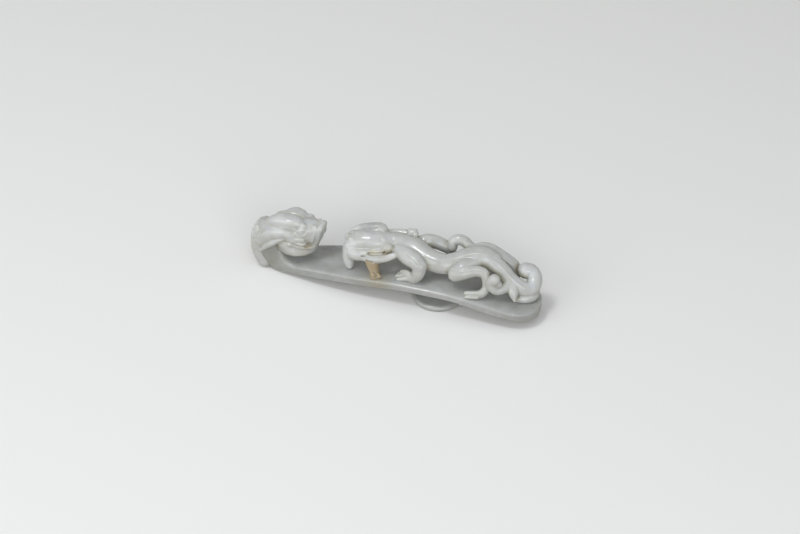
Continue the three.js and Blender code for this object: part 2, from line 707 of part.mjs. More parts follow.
const maneKnobAt = [-0.2, 0.58, 0.74];
const maneKnobGirthShares = [1, 0.85, 1];

function youngMane(growth) {
  const knobSize = maneKnobGirthShares.map((share) => share * crestGirth);
  return joined([
    plateLimb(maneStripShares, crestGirth, { rings: 7, count: slimSides }, growth),
    ellipsoid(onPlate(maneKnobAt), knobSize, growth, slimSides),
  ]);
}

// A leg that folds back on itself at elbow or knee is two limbs in one.
function leftForeleg(growth) {
  return joined([
    plateLimb(leftArmShares, limbGirth, { rings: 6 }, growth),
    plateLimb(leftForearmShares, limbGirth, { rings: 12 }, growth),
  ]);
}

function leftHindleg(growth) {
  return joined([
    plateLimb(leftThighShares, limbGirth, { rings: 5 }, growth),
    plateLimb(leftShankShares, limbGirth, { rings: 18 }, growth),
  ]);
}

// Assembly. A form placed later is cut clear of the forms before it by the seam.

const slimLimb = (shares, girth, rings) => (growth) =>
  plateLimb(shares, girth, { rings, count: slimSides }, growth);

const root = new THREE.Group();
const placed = [];

function place(name, form, material = whiteJade) {
  const cut = placed.reduce((solid, cutter) => solid.subtract(cutter), form(0));
  // a cut can leave a crumb on the far side of a neighbour: the form itself is the largest body
  const bodies = cut.decompose().sort((a, b) => b.volume() - a.volume());
  placed.push(form(seam));
  const mesh = new THREE.Mesh(geometryOf(bodies[0]), material);
  mesh.name = name;
  root.add(mesh);
}

place("hook_shank", hookShank);
place("button_disc", buttonDisc);
place("button_stem", buttonStem);

place("dragon_skull", dragonSkull);
place("dragon_lower_jaw", dragonLowerJaw);
place("dragon_right_horn", (growth) => headLimb(hornShares, { rings: 7 }, growth));
place("dragon_left_horn", (growth) => headLimb(leftHornShares, { rings: 7 }, growth));
place("dragon_right_ear", dragonEar(asDrawn));
place("dragon_left_ear", dragonEar(mirrored));
place("dragon_mane", dragonMane);

place("chilong_torso", youngTorso);
place("chilong_head", youngHead);
place("chilong_crest", (growth) => plateLimb(crestShares, crestGirth, { rings: 8 }, growth));
place("chilong_mane", youngMane);
place("chilong_tail", (growth) => plateLimb(tailShares, tailGirth, { rings: 24 }, growth));
place("chilong_tail_branch", slimLimb(tailBranchShares, tailGirth, 14));
place("chilong_tail_spur", slimLimb(tailSpurShares, tailGirth, 4));
place("chilong_tail_rest", slimLimb(tailRestShares, tailGirth, 6));
place("chilong_left_foreleg", leftForeleg);
place("chilong_right_foreleg", (growth) => plateLimb(rightForelegShares, limbGirth, { rings: 14 }, growth));
place("chilong_left_hindleg", leftHindleg);
place("chilong_right_hindleg", (growth) => plateLimb(rightHindlegShares, limbGirth, { rings: 24 }, growth));
place("chilong_lower_lip", slimLimb(lipShares, jawGirth, 10));
place("lingzhi_sprig", slimLimb(sprigShares, sprigGirth, 6), russetJade);

export default root;
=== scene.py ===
"""Looks of a belt hook that is carved from one pebble of white nephrite.

A curved plate turns up at one end into a neck and a dragon's head, a young dragon (a chilong) lies on the
plate in openwork, and a round button stands underneath. Plain forms are lofted or turned. Carved forms are
sculpted as distance fields: strands and beads of stone run softly into each other, lines and hollows are cut
into them, and the finished stone is skinned with a fine mesh. Places are in millimetres in the hook's own frame
until a mesh is made, and Blender's objects are in metres.
"""

from __future__ import annotations

import logging
import math
from dataclasses import dataclass, field
from enum import Enum
from typing import Sequence

import bpy
import numpy as np
from mathutils import Matrix, Vector

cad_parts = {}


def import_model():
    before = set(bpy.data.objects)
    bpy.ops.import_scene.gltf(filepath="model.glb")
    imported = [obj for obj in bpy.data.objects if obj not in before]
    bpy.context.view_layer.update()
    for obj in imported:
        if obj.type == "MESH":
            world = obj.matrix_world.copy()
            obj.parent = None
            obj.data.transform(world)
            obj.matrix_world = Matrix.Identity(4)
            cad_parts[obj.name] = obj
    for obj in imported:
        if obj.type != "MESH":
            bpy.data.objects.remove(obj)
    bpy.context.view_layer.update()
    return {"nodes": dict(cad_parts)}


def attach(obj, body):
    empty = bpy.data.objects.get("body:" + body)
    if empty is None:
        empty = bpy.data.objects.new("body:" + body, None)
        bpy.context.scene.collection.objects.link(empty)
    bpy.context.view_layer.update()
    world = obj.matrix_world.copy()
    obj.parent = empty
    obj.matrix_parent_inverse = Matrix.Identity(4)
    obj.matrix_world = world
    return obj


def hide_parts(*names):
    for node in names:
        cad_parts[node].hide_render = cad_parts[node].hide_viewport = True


LOG = logging.getLogger("belt_hook")
MM = 0.001
FAR = 6.0  # a distance that stands for no stone nearby, in mm
SPARE = 0.4  # distances are measured so much further out than a joint needs them, in mm
TAPERS = 6  # a line on the skin thins out over one part in so many at either end
THINNEST = 0.06  # to the root of this share of its radius
THREAD_STEP = 0.4  # the spacing of the points along a thin thread, in mm
SUNK = 0.25  # how deep carved feet reach into the plate, in mm
UP = np.array([0.0, 0.0, 1.0])

Table = Sequence[Sequence[float]]
Window = tuple[slice, ...]
Tree = bpy.types.NodeTree
Socket = bpy.types.NodeSocket


class JadeSlot(Enum):
    """Names for the jade's two material slots. The pieces take their materials directly, and nothing reads
    these.
    """

    WHITE = "white_jade"
    RUSSET = "russet_jade"


class Girth(Enum):
    """The sizes that the half widths of the young dragon's parts are shares of."""

    TORSO = "torso_girth"
    LIMB = "limb_girth"
    TAIL = "tail_girth"
    CREST = "crest_girth"
    JAW = "jaw_girth"


# Sizes of the hook


class ShareCurve:
    """A smooth curve through a table's columns, which never swings past its points."""

    def __init__(self, places: Sequence[float], shares: Sequence[float]) -> None:
        """Keeps the columns and works out the slopes at the points.

        Args:
            places: The places, rising.
            shares: The share at each place.
        """
        self.places = np.asarray(places, float)
        self.shares = np.asarray(shares, float)
        slopes = np.diff(self.shares) / np.diff(self.places)
        before, after = slopes[:-1], slopes[1:]
        alike = before * after > 0
        mean = np.where(alike, 2 * before * after / np.where(alike, before + after, 1), 0)
        self.slopes = np.concatenate([slopes[:1], mean, slopes[-1:]])

    def __call__(self, place: float | np.ndarray) -> np.ndarray:
        """Reads the curve.

        Args:
            place: Where to read it.

        Returns:
            The share there.
        """
        place = np.asarray(place, float)
        i = np.clip(np.searchsorted(self.places, place, side="right") - 1, 0, len(self.places) - 2)
        width = self.places[i + 1] - self.places[i]
        t = np.clip((place - self.places[i]) / width, 0, 1)
        start, end = self.shares[i], self.shares[i + 1]
        lean, arrive = self.slopes[i] * width, self.slopes[i + 1] * width
        bend = 3 * (end - start) - 2 * lean - arrive
        turn = lean + arrive - 2 * (end - start)
        return start + t * (lean + t * (bend + t * turn))


@dataclass(frozen=True)
class HookSizes:
    """The hook's driving sizes in millimetres, and the maps from shares of them to places.

    A station runs along the plate from -1 at the foot of the neck, over 0 at the button, to 1 at the tail end.

    Attributes:
        hook_reach: From the button to the foot of the neck.
        tail_reach: From the button to the tail end.
        plate_half_width: Half the plate's width where it is widest.
        plate_thickness: Its thickness at the crown.
        crown_height: The height of its upper face there.
        neck_reach: How far the neck reaches back from its foot.
        neck_half_width: Half the neck's width.
        button_radius: The button's radius over its bulging edge.
        button_thickness: Its thickness.
        button_face_radius: The radius of its flat faces.
        stem_radius: The stem's radius in its middle.
        stem_flare: How much wider its roots are.
        throat_height: From the plate at the neck's foot up to where rises in the head are counted from.
        head_length: The length of the dragon's head.
        head_half_width: Half its width.
        head_height: Its height.
        mane_relief: How far its mane stands off the neck.
        relief_height: The height of the relief on the plate.
        torso_girth: The radius of the young dragon's torso and head.
        limb_girth: That of its limbs.
        tail_girth: That of its tail.
        crest_girth: That of its crest and its mane.
        jaw_girth: That of its lower lip.
        sprig_girth: That of the sprig.
    """

    hook_reach: float = 58.0
    tail_reach: float = 38.2
    plate_half_width: float = 10.4
    plate_thickness: float = 3.5
    crown_height: float = 10.4
    neck_reach: float = 11.35
    neck_half_width: float = 5.5
    button_radius: float = 9.4
    button_thickness: float = 2.3
    button_face_radius: float = 8.0
    stem_radius: float = 3.0
    stem_flare: float = 1.1
    throat_height: float = 5.5
    head_length: float = 22.8
    head_half_width: float = 7.0
    head_height: float = 15.0
    mane_relief: float = 2.3
    relief_height: float = 15.0
    torso_girth: float = 4.5
    limb_girth: float = 3.0
    tail_girth: float = 2.9
    crest_girth: float = 2.0
    jaw_girth: float = 1.4
    sprig_girth: float = 2.2

    def reach(self, station: float | np.ndarray) -> np.ndarray:
        """Returns the place along the hook of a station."""
        station = np.asarray(station, float)
        return station * np.where(station < 0, self.hook_reach, self.tail_reach)

    def plate_top(self, station: float | np.ndarray) -> np.ndarray:
        """Returns the height of the plate's upper face at a station."""
        return self.crown_height * PLATE_TOP(station)

    def plate_depth(self, station: float | np.ndarray) -> np.ndarray:
        """Returns the plate's thickness at a station."""
        return self.plate_thickness * PLATE_THICKNESS(station)

    @property
    def head_floor(self) -> float:
        """The height of the dragon's jaw, from which rises in the head are counted."""
        return float(self.plate_top(-1)) + self.throat_height

    @property
    def head_back(self) -> float:
        """The place of the skull's back, from which shares along the head are counted."""
        return -self.hook_reach - HEAD_BACK_SHARE * self.neck_reach

    def on_plate(self, rows: Table, girth: float) -> np.ndarray:
        """Places the rows of a form that lies on the plate.

        Args:
            rows: Station, share across, rise and half width, and half height where it differs.
            girth: The size that the half width and height are shares of.

        Returns:
            One row per knot: x, y, z, half width and half height, in millimetres.
        """
        table = np.array([(*row, row[3]) if len(row) == 4 else row for row in rows], float)
        station, across, rise, wide, tall = table.T
        height = self.plate_top(station) + rise * self.relief_height
        places = [self.reach(station), across * self.plate_half_width, height]
        return np.stack([*places, wide * girth, tall * girth], axis=1)

    def in_head(self, rows: Table) -> np.ndarray:
        """Places the rows of a form of the dragon's head.

        Args:
            rows: Shares along, across and up the head, then half width and half height as shares of its own.

        Returns:
            One row per knot: x, y, z, half width and half height, in millimetres.
        """
        along, across, rise, wide, tall = np.array(rows, float).T
        places = [
            self.head_back + along * self.head_length,
            across * self.head_half_width,
            self.head_floor + rise * self.head_height,
        ]
        return np.stack([*places, wide * self.head_half_width, tall * self.head_height], axis=1)


STATIONS = (-1, -0.81, -0.66, -0.45, -0.17, 0.1, 0.28, 0.46, 0.72, 0.88, 1)
PLATE_TOP = ShareCurve(STATIONS, (0.43, 0.64, 0.75, 0.865, 0.98, 1, 0.968, 0.905, 0.765, 0.68, 0.64))
PLATE_WIDTH = ShareCurve(STATIONS, (0.6, 0.78, 0.885, 0.955, 0.98, 0.99, 0.995, 1, 1, 1, 1))
PLATE_THICKNESS = ShareCurve(STATIONS, (1.23, 1.31, 1.25, 1.19, 1.02, 1, 1, 1.2, 1.19, 1.12, 1.08))
HEAD_BACK_SHARE = 0.71


# Curves


def smooth_path(knots: np.ndarray, count: int) -> np.ndarray:
    """Runs a smooth curve through knots, spaced by their own distances so that it never loops.

    Args:
        knots: One row per knot. The first three columns are its place, and the others follow along.
        count: How many points to return, evenly spread over the knots.

    Returns:
        One row per point, with the knots' columns.
    """
    padded = np.vstack([2 * knots[0] - knots[1], knots, 2 * knots[-1] - knots[-2]])
    place = np.linspace(0, len(knots) - 1, count)
    i = np.minimum(place.astype(int), len(knots) - 2)
    t = (place - i)[:, None]
    p0, p1, p2, p3 = (padded[i + j] for j in range(4))

    def gap(a: np.ndarray, b: np.ndarray) -> np.ndarray:
        """Returns the square root of the distance between two rows of places."""
        return np.sqrt(np.maximum(np.linalg.norm((b - a)[:, :3], axis=1, keepdims=True), 1e-4))

    g0, g1, g2 = gap(p0, p1), gap(p1, p2), gap(p2, p3)
    leave = ((p1 - p0) / g0 - (p2 - p0) / (g0 + g1) + (p2 - p1) / g1) * g1
    arrive = ((p2 - p1) / g1 - (p3 - p1) / (g1 + g2) + (p3 - p2) / g2) * g1
    bend = 3 * (p2 - p1) - 2 * leave - arrive
    turn = leave + arrive - 2 * (p2 - p1)
    return p1 + t * (leave + t * (bend + t * turn))


def eased_fall(share: np.ndarray) -> np.ndarray:
    """Returns a value that falls smoothly from 1 at a share of nought to 0 at a share of one and beyond."""
    share = np.clip(share, 0, 1)
    return 1 - share * share * (3 - 2 * share)


def tangents_of(points: np.ndarray) -> np.ndarray:
    """Returns the unit direction of a row of points at each of them."""
    along = np.gradient(points, axis=0)
    return along / np.linalg.norm(along, axis=1, keepdims=True)


def steady_normals(tangents: np.ndarray, over: np.ndarray) -> np.ndarray:
    """Carries a direction along a curve so that it stays square to it without twisting.

    Args:
        tangents: The curve's unit directions.
        over: The direction to start from.

    Returns:
        One unit direction per tangent.
    """
    normal = np.array(over, float)
    normals = []
    for tangent in tangents:
        normal = normal - normal.dot(tangent) * tangent
        normal = normal / np.linalg.norm(normal)
        normals.append(normal)
    return np.array(normals)


# Sculpting


def soft_min(a: np.ndarray, b: np.ndarray, softness: float) -> np.ndarray:
    """Joins two fields so that their surfaces run into each other.

    Args:
        a: Distances to one form.
        b: Distances to the other.
        softness: How wide the fillet between them is, in mm.

    Returns:
        Distances to both as one form.
    """
    if softness <= 0:
        return np.minimum(a, b)
    reach = np.maximum(softness - np.abs(a - b), 0)
    return np.minimum(a, b) - reach * reach / (4 * softness)


@dataclass
class Strand:
    """A strand of stone along a smooth curve, with its own half width and half height at each knot.

    Attributes:
        knots: One row per knot: x, y, z, half width and half height.
        over: The direction in which the half height is measured at the start.
        power: 2 for an oval section, and more for a squarer one.
        step: The spacing of the points along the curve that distances are measured from.
        points: Those points, with the knots' columns.
        overs: The direction of the half height at each of them.
        acrosses: The direction of the half width.
    """

    knots: np.ndarray
    over: np.ndarray = field(default_factory=lambda: UP)
    power: float = 2.0
    step: float = 0.55
    points: np.ndarray = field(init=False)
    overs: np.ndarray = field(init=False)
    acrosses: np.ndarray = field(init=False)

    def __post_init__(self) -> None:
        """Runs the curve and its frames."""
        length = np.linalg.norm(np.diff(self.knots[:, :3], axis=0), axis=1).sum()
        count = max(len(self.knots), int(length / self.step) + 2)
        self.points = smooth_path(self.knots, count)
        tangents = tangents_of(self.points[:, :3])
        self.overs = steady_normals(tangents, self.over)
        self.acrosses = np.cross(self.overs, tangents)

    def line(self, angle: float, half: float, start: float, end: float, lift: float) -> Strand:
        """Makes a thin strand that runs along this one's skin.

        Args:
            angle: Where it lies round the section, in degrees: 0 is across and 90 is over.
            half: Its half width at its middle. It thins out to its ends.
            start: Where it starts, as a share of this strand's points.
            end: Where it ends.
            lift: How far its middle lies above the skin.

        Returns:
            The thin strand.
        """
        first, last = (round(share * (len(self.points) - 1)) for share in (start, end))
        pick = slice(first, last + 1)
        turn = math.radians(angle)
        wide, tall = self.points[pick, 3:4] + lift, self.points[pick, 4:5] + lift
        places = self.points[pick, :3] + self.acrosses[pick] * wide * math.cos(turn)
        places = places + self.overs[pick] * tall * math.sin(turn)
        shares = np.linspace(0, 1, len(places))
        thin = half * np.sqrt(np.clip(np.minimum(shares, 1 - shares) * TAPERS, THINNEST, 1))[:, None]
        return Strand(np.hstack([places, thin, thin]), step=self.step)

    def distance(self, stone: Stone, margin: float) -> tuple[Window, np.ndarray]:
        """Measures the distances to this strand near it.

        Args:
            stone: The block whose grid is used.
            margin: How far from the strand's skin the distances are wanted.

        Returns:
            The part of the grid, and the distances there.
        """
        places, sizes = self.points[:, :3], self.points[:, 3:]
        reach = sizes.max(axis=1) + margin
        grown = np.maximum(reach[1:], reach[:-1])[:, None]
        lows = np.minimum(places[1:], places[:-1]) - grown
        highs = np.maximum(places[1:], places[:-1]) + grown
        window = stone.window(lows.min(axis=0), highs.max(axis=0))
        near = np.full(tuple(s.stop - s.start for s in window), FAR, np.float32)
        for i in range(len(places) - 1):
            part = stone.window(lows[i], highs[i])
            local = tuple(slice(p.start - w.start, p.stop - w.start) for p, w in zip(part, window))
            if near[local].size:
                found = self._segment_distance(i, stone.axes(part))
                near[local] = np.minimum(near[local], found)
        return window, near

    def _segment_distance(self, i: int, axes: tuple[np.ndarray, ...]) -> np.ndarray:
        """Measures the distances to the stretch between two neighbouring points.

        Args:
            i: The index of the first of them.
            axes: The grid's coordinates.

        Returns:
            The distances on that grid.
        """
        a, b = self.points[i, :3], self.points[i + 1, :3]
        along = b - a
        gaps = [axis - start for axis, start in zip(axes, a)]
        dots = sum(gap * (step / max(along.dot(along), 1e-9)) for gap, step in zip(gaps, along))
        t = np.clip(dots, 0, 1)
        gaps = [gap - t * step for gap, step in zip(gaps, along)]
        square = sum(gap * gap for gap in gaps)
        wide = self.points[i, 3] + t * (self.points[i + 1, 3] - self.points[i, 3])
        if self.power == 2 and np.allclose(self.points[i : i + 2, 3], self.points[i : i + 2, 4], rtol=0.02):
            return np.sqrt(square) - wide
        tall = self.points[i, 4] + t * (self.points[i + 1, 4] - self.points[i, 4])
        rise = np.abs(sum(gap * part for gap, part in zip(gaps, self.overs[i])))
        flat = np.sqrt(np.maximum(square - rise * rise, 0))
        return oval_distance([flat, rise], [wide, tall], self.power)


def oval_distance(
    values: Sequence[np.ndarray], radii: Sequence[float | np.ndarray], power: float
) -> np.ndarray:
    """Estimates the distance to an oval form.

    Args:
        values: How far each grid point lies from the middle along each of the form's own directions.
        radii: The form's radius in each direction.
        power: 2 for an ellipse, and more for a squarer form.

    Returns:
        The distances, exact at the skin.
    """
    shares = [np.abs(value) / radius for value, radius in zip(values, radii)]
    size = np.maximum(sum(share**power for share in shares), 1e-9) ** (1 / power)
    steep = np.sqrt(sum((share ** (power - 1) / radius) ** 2 for share, radius in zip(shares, radii)))
    return (size - 1) * size ** (power - 1) / np.maximum(steep, 1e-6)


@dataclass
class Bead:
    """An oval bead of stone.

    Attributes:
        centre: Its middle.
        radii: Its three radii.
        turn: Its rotation, whose rows are its own axes.
        power: 2 for an oval bead, and more for a squarer one.
    """

    centre: Sequence[float]
    radii: Sequence[float]
    turn: np.ndarray = field(default_factory=lambda: np.eye(3))
    power: float = 2.0

    def distance(self, stone: Stone, margin: float) -> tuple[Window, np.ndarray]:
        """Measures the distances to this bead near it.

        Args:
            stone: The block whose grid is used.
            margin: How far from the bead's skin the distances are wanted.

        Returns:
            The part of the grid, and the distances there.
        """
        middle = np.asarray(self.centre, float)
        reach = max(self.radii) + margin
        window = stone.window(middle - reach, middle + reach)
        gaps = [axis - place for axis, place in zip(stone.axes(window), middle)]
        own = [sum(gap * part for gap, part in zip(gaps, row)) for row in self.turn]
        return window, oval_distance(own, self.radii, self.power).astype(np.float32)


class Stone:
    """A block of stone on a grid, which forms are added to and cut from.

    Attributes:
        low: The grid's lowest corner.
        pitch: The grid's spacing.
        depth: The signed distance to the surface at each grid point, below zero in the stone.
    """

    def __init__(self, low: Sequence[float], high: Sequence[float], pitch: float) -> None:
        """Sets up an empty block.

        Args:
            low: Its lowest corner.
            high: Its highest corner.
            pitch: Its grid's spacing.
        """
        self.low = np.asarray(low, float)
        self.pitch = pitch
        counts = np.ceil((np.asarray(high, float) - self.low) / pitch).astype(int) + 1
        self.depth = np.full(counts, FAR, np.float32)

    def window(self, low: np.ndarray, high: np.ndarray) -> Window:
        """Finds the part of the grid between two corners.

        Args:
            low: The lowest corner.
            high: The highest corner.

        Returns:
            One slice per axis.
        """
        first = np.floor((low - self.low) / self.pitch).astype(int)
        last = np.ceil((high - self.low) / self.pitch).astype(int) + 1
        shape = self.depth.shape
        starts = [min(max(int(f), 0), n) for f, n in zip(first, shape)]
        return tuple(slice(s, min(max(int(e), s), n)) for s, e, n in zip(starts, last, shape))

    def axes(self, window: Window) -> tuple[np.ndarray, ...]:
        """Lists the coordinates of a part of the grid.

        Args:
            window: The part.

        Returns:
            One open axis each.
        """
        lines = [
            (low + self.pitch * np.arange(part.start, part.stop)).astype(np.float32)
            for low, part in zip(self.low, window)
        ]
        return np.ix_(*lines)

    def add(self, form: Strand | Bead, softness: float) -> None:
        """Joins a form to the stone, with a fillet as wide as the softness."""
        window, found = form.distance(self, softness + 2 * self.pitch + SPARE)
        self.depth[window] = soft_min(self.depth[window], found, softness)

    def cut(self, form: Strand | Bead, softness: float) -> None:
        """Cuts a form out of the stone, with edges as round as the softness."""
        window, found = form.distance(self, softness + 2 * self.pitch)
        self.depth[window] = -soft_min(-self.depth[window], found, softness)

    def clip_below(self, height: float) -> None:
        """Cuts the stone off flat below a height."""
        heights = self.low[2] + self.pitch * np.arange(self.depth.shape[2])
        np.maximum(self.depth, (height - heights).astype(np.float32), out=self.depth)

    def mirrored(self) -> Stone:
        """Makes the far half from the near one: the grid's last layer across lies on the middle plane."""
        self.depth = np.concatenate([self.depth, self.depth[:, -2::-1]], axis=1)
        return self

    def sample(self, places: np.ndarray) -> np.ndarray:
        """Reads the distances between the grid's points.

        Args:
            places: One place per row.

        Returns:
            One distance per place.
        """
        spot = (places - self.low) / self.pitch
        spot = np.clip(spot, 0, np.array(self.depth.shape) - 1.001)  # so that each has a next grid point
        base = spot.astype(int)
        share = spot - base
        total = np.zeros(len(places))
        for corner in np.ndindex(2, 2, 2):
            weight = np.prod(np.where(np.array(corner) == 1, share, 1 - share), axis=1)
            total += weight * self.depth[tuple((base + corner).T)]
        return total

    def slopes(self, places: np.ndarray) -> np.ndarray:
        """Finds the directions out of the stone.

        Args:
            places: One place per row.

        Returns:
            One unit direction per place.
        """
        half = 0.5 * self.pitch
        rises = [self.sample(places + half * axis) - self.sample(places - half * axis) for axis in np.eye(3)]
        slope = np.stack(rises, axis=1)
        return slope / np.maximum(np.linalg.norm(slope, axis=1, keepdims=True), 1e-9)

    def skin(self) -> tuple[np.ndarray, np.ndarray]:
        """Skins the stone with one vertex in each cell that its surface passes through.

        Returns:
            The vertices in mm, and the quads, each anticlockwise seen from outside.
        """
        inside = self.depth < 0
        cells = np.array(inside.shape) - 1
        corners = list(np.ndindex(2, 2, 2))
        views = [tuple(slice(c, c + n) for c, n in zip(corner, cells)) for corner in corners]
        count = sum(inside[view].astype(np.int8) for view in views)
        active = np.argwhere((count > 0) & (count < 8))
        index = np.full(cells, -1, np.int64)
        index[tuple(active.T)] = np.arange(len(active))
        values = [self.depth[tuple((active + corner).T)].astype(float) for corner in corners]
        total = np.zeros((len(active), 3))
        crossings = np.zeros(len(active))
        for a, b in edges_of_cell():
            crossed = (values[a] < 0) != (values[b] < 0)
            share = np.where(crossed, values[a] / np.where(crossed, values[a] - values[b], 1), 0)[:, None]
            place = np.array(corners[a]) + share * (np.array(corners[b]) - np.array(corners[a]))
            total += crossed[:, None] * place
            crossings += crossed
        vertices = self.low + self.pitch * (active + total / crossings[:, None])
        return self._settle(vertices), self._quads(inside, index)

    def _settle(self, vertices: np.ndarray) -> np.ndarray:
        """Moves vertices onto the surface itself.

        Args:
            vertices: The vertices.

        Returns:
            The moved vertices.
        """
        for _ in range(2):
            vertices = vertices - self.sample(vertices)[:, None] * self.slopes(vertices)
        return vertices

    @staticmethod
    def _quads(inside: np.ndarray, index: np.ndarray) -> np.ndarray:
        """Joins the vertices of the four cells round each crossed grid edge.

        Args:
            inside: Whether each grid point is in the stone.
            index: The vertex of each cell.

        Returns:
            The quads.
        """
        quads = []
        for axis in range(3):
            side, other = (axis + 1) % 3, (axis + 2) % 3
            near = [slice(1, -1)] * 3
            near[axis] = slice(0, -1)
            far = list(near)
            far[axis] = slice(1, None)
            here, there = inside[tuple(near)], inside[tuple(far)]
            for leaving in (True, False):
                edges = np.argwhere(here & ~there if leaving else ~here & there)
                edges[:, side] += 1
                edges[:, other] += 1
                ring = []
                for back_side, back_other in ((1, 1), (0, 1), (0, 0), (1, 0)):
                    cell = edges.copy()
                    cell[:, side] -= back_side
                    cell[:, other] -= back_other
                    ring.append(index[tuple(cell.T)])
                quads.append(np.stack(ring if leaving else ring[::-1], axis=1))
        return np.concatenate(quads)


def edges_of_cell() -> list[tuple[int, int]]:
    """Returns the twelve edges of a grid cell as pairs of corner numbers."""
    return [(a, a | bit) for a in range(8) for bit in (1, 2, 4) if not a & bit]


# Meshes


def make_piece(
    name: str, vertices: np.ndarray, faces: Sequence[np.ndarray], finish: bpy.types.Material
) -> bpy.types.Object:
    """Makes a smooth mesh object.

    Args:
        name: The object's name.
        vertices: Its corners in millimetres.
        faces: Groups of faces with as many corners each, anticlockwise seen from outside.
        finish: Its material.

    Returns:
        The object, at the origin, with its mesh in metres.
    """
    mesh = bpy.data.meshes.new(name)
    mesh.vertices.add(len(vertices))
    mesh.vertices.foreach_set("co", (vertices * MM).astype(np.float32).ravel())
    loops = np.concatenate([group.ravel() for group in faces]).astype(np.int32)
    totals = np.concatenate([np.full(len(group), group.shape[1]) for group in faces])
    starts = np.concatenate([[0], np.cumsum(totals)[:-1]]).astype(np.int32)
    mesh.loops.add(len(loops))
    mesh.loops.foreach_set("vertex_index", loops)
    mesh.polygons.add(len(totals))
    mesh.polygons.foreach_set("loop_start", starts)
    mesh.update(calc_edges=True)
    mesh.validate()
    mesh.shade_smooth()
    mesh.materials.append(finish)
    piece = bpy.data.objects.new(name, mesh)
    bpy.context.scene.collection.objects.link(piece)
    return piece


def loft(rings: np.ndarray, start_tip: np.ndarray, end_tip: np.ndarray) -> tuple[np.ndarray, list[np.ndarray]]:
    """Skins rings of equal count, each running anticlockwise seen from the next, and closes both ends.

    Args:
        rings: The rings, as ring, point and coordinate.
        start_tip: The point that closes the first ring.
        end_tip: The point that closes the last one.

    Returns:
        The vertices, and the faces by number of corners.
    """
    ring_count, count = rings.shape[:2]
    vertices = np.vstack([rings.reshape(-1, 3), start_tip, end_tip])
    start = ring_count * count
    j = np.arange(count)
    following = (j + 1) % count
    rows = count * np.arange(ring_count - 1)[:, None]
    quads = np.stack([rows + j, rows + following, rows + count + following, rows + count + j], axis=-1)
    first = np.stack([np.full(count, start), following, j], axis=1)
    last = np.stack([np.full(count, start + 1), start - count + j, start - count + following], axis=1)
    return vertices, [quads.reshape(-1, 4), np.vstack([first, last])]


def turned(profile: np.ndarray, count: int) -> tuple[np.ndarray, list[np.ndarray]]:
    """Turns a profile round the upright axis.

    Args:
        profile: Radius and height, from the lowest point of the axis to the highest. Both ends lie on the axis.
        count: How many sides the form has.

    Returns:
        The vertices, and the faces by number of corners.
    """
    angles = 2 * np.pi * np.arange(count) / count
    radius, height = profile[1:-1, 0, None], profile[1:-1, 1, None]
    rings = np.stack([radius * np.cos(angles), radius * np.sin(angles), height + 0 * angles], axis=-1)
    tips = [np.array([0, 0, profile[end, 1]]) for end in (0, -1)]
    return loft(rings, *tips)


# Finishes


def linear(hex_colour: str) -> tuple[float, float, float, float]:
    """Turns an sRGB hex colour into linear RGBA."""
    parts = [int(hex_colour[i : i + 2], 16) / 255 for i in (1, 3, 5)]
    return (*[p / 12.92 if p <= 0.04045 else ((p + 0.055) / 1.055) ** 2.4 for p in parts], 1.0)


def add_node(tree: Tree, kind: str, **settings: object) -> bpy.types.Node:
    """Adds a node with its settings and its inputs.

    Args:
        tree: The node tree.
        kind: The node's type name.
        **settings: Its properties. The entry called inputs maps sockets to values or to sockets to link from.

    Returns:
        The node.
    """
    node = tree.nodes.new(kind)
    inputs = settings.pop("inputs", {})
    for key, value in settings.items():
        setattr(node, key, value)
    for key, value in inputs.items():
        if isinstance(value, Socket):
            tree.links.new(value, node.inputs[key])
        else:
            node.inputs[key].default_value = value
    return node


@dataclass(frozen=True)
class StainAndPaintedLight:
    """A patch of another colour. Some are where the pebble's russet skin runs into the stone, and others are
    painted shade and painted light.

    Attributes:
        centre: Its middle, in mm.
        radius: How far it reaches, in mm.
        strength: How strong it is at its middle, from 0 to 1.
        colour: Its colour.
        core: The share of its radius within which it doesn't fade.
    """

    centre: tuple[float, float, float]
    radius: float
    strength: float
    colour: str = "#A48657"
    core: float = 0.15


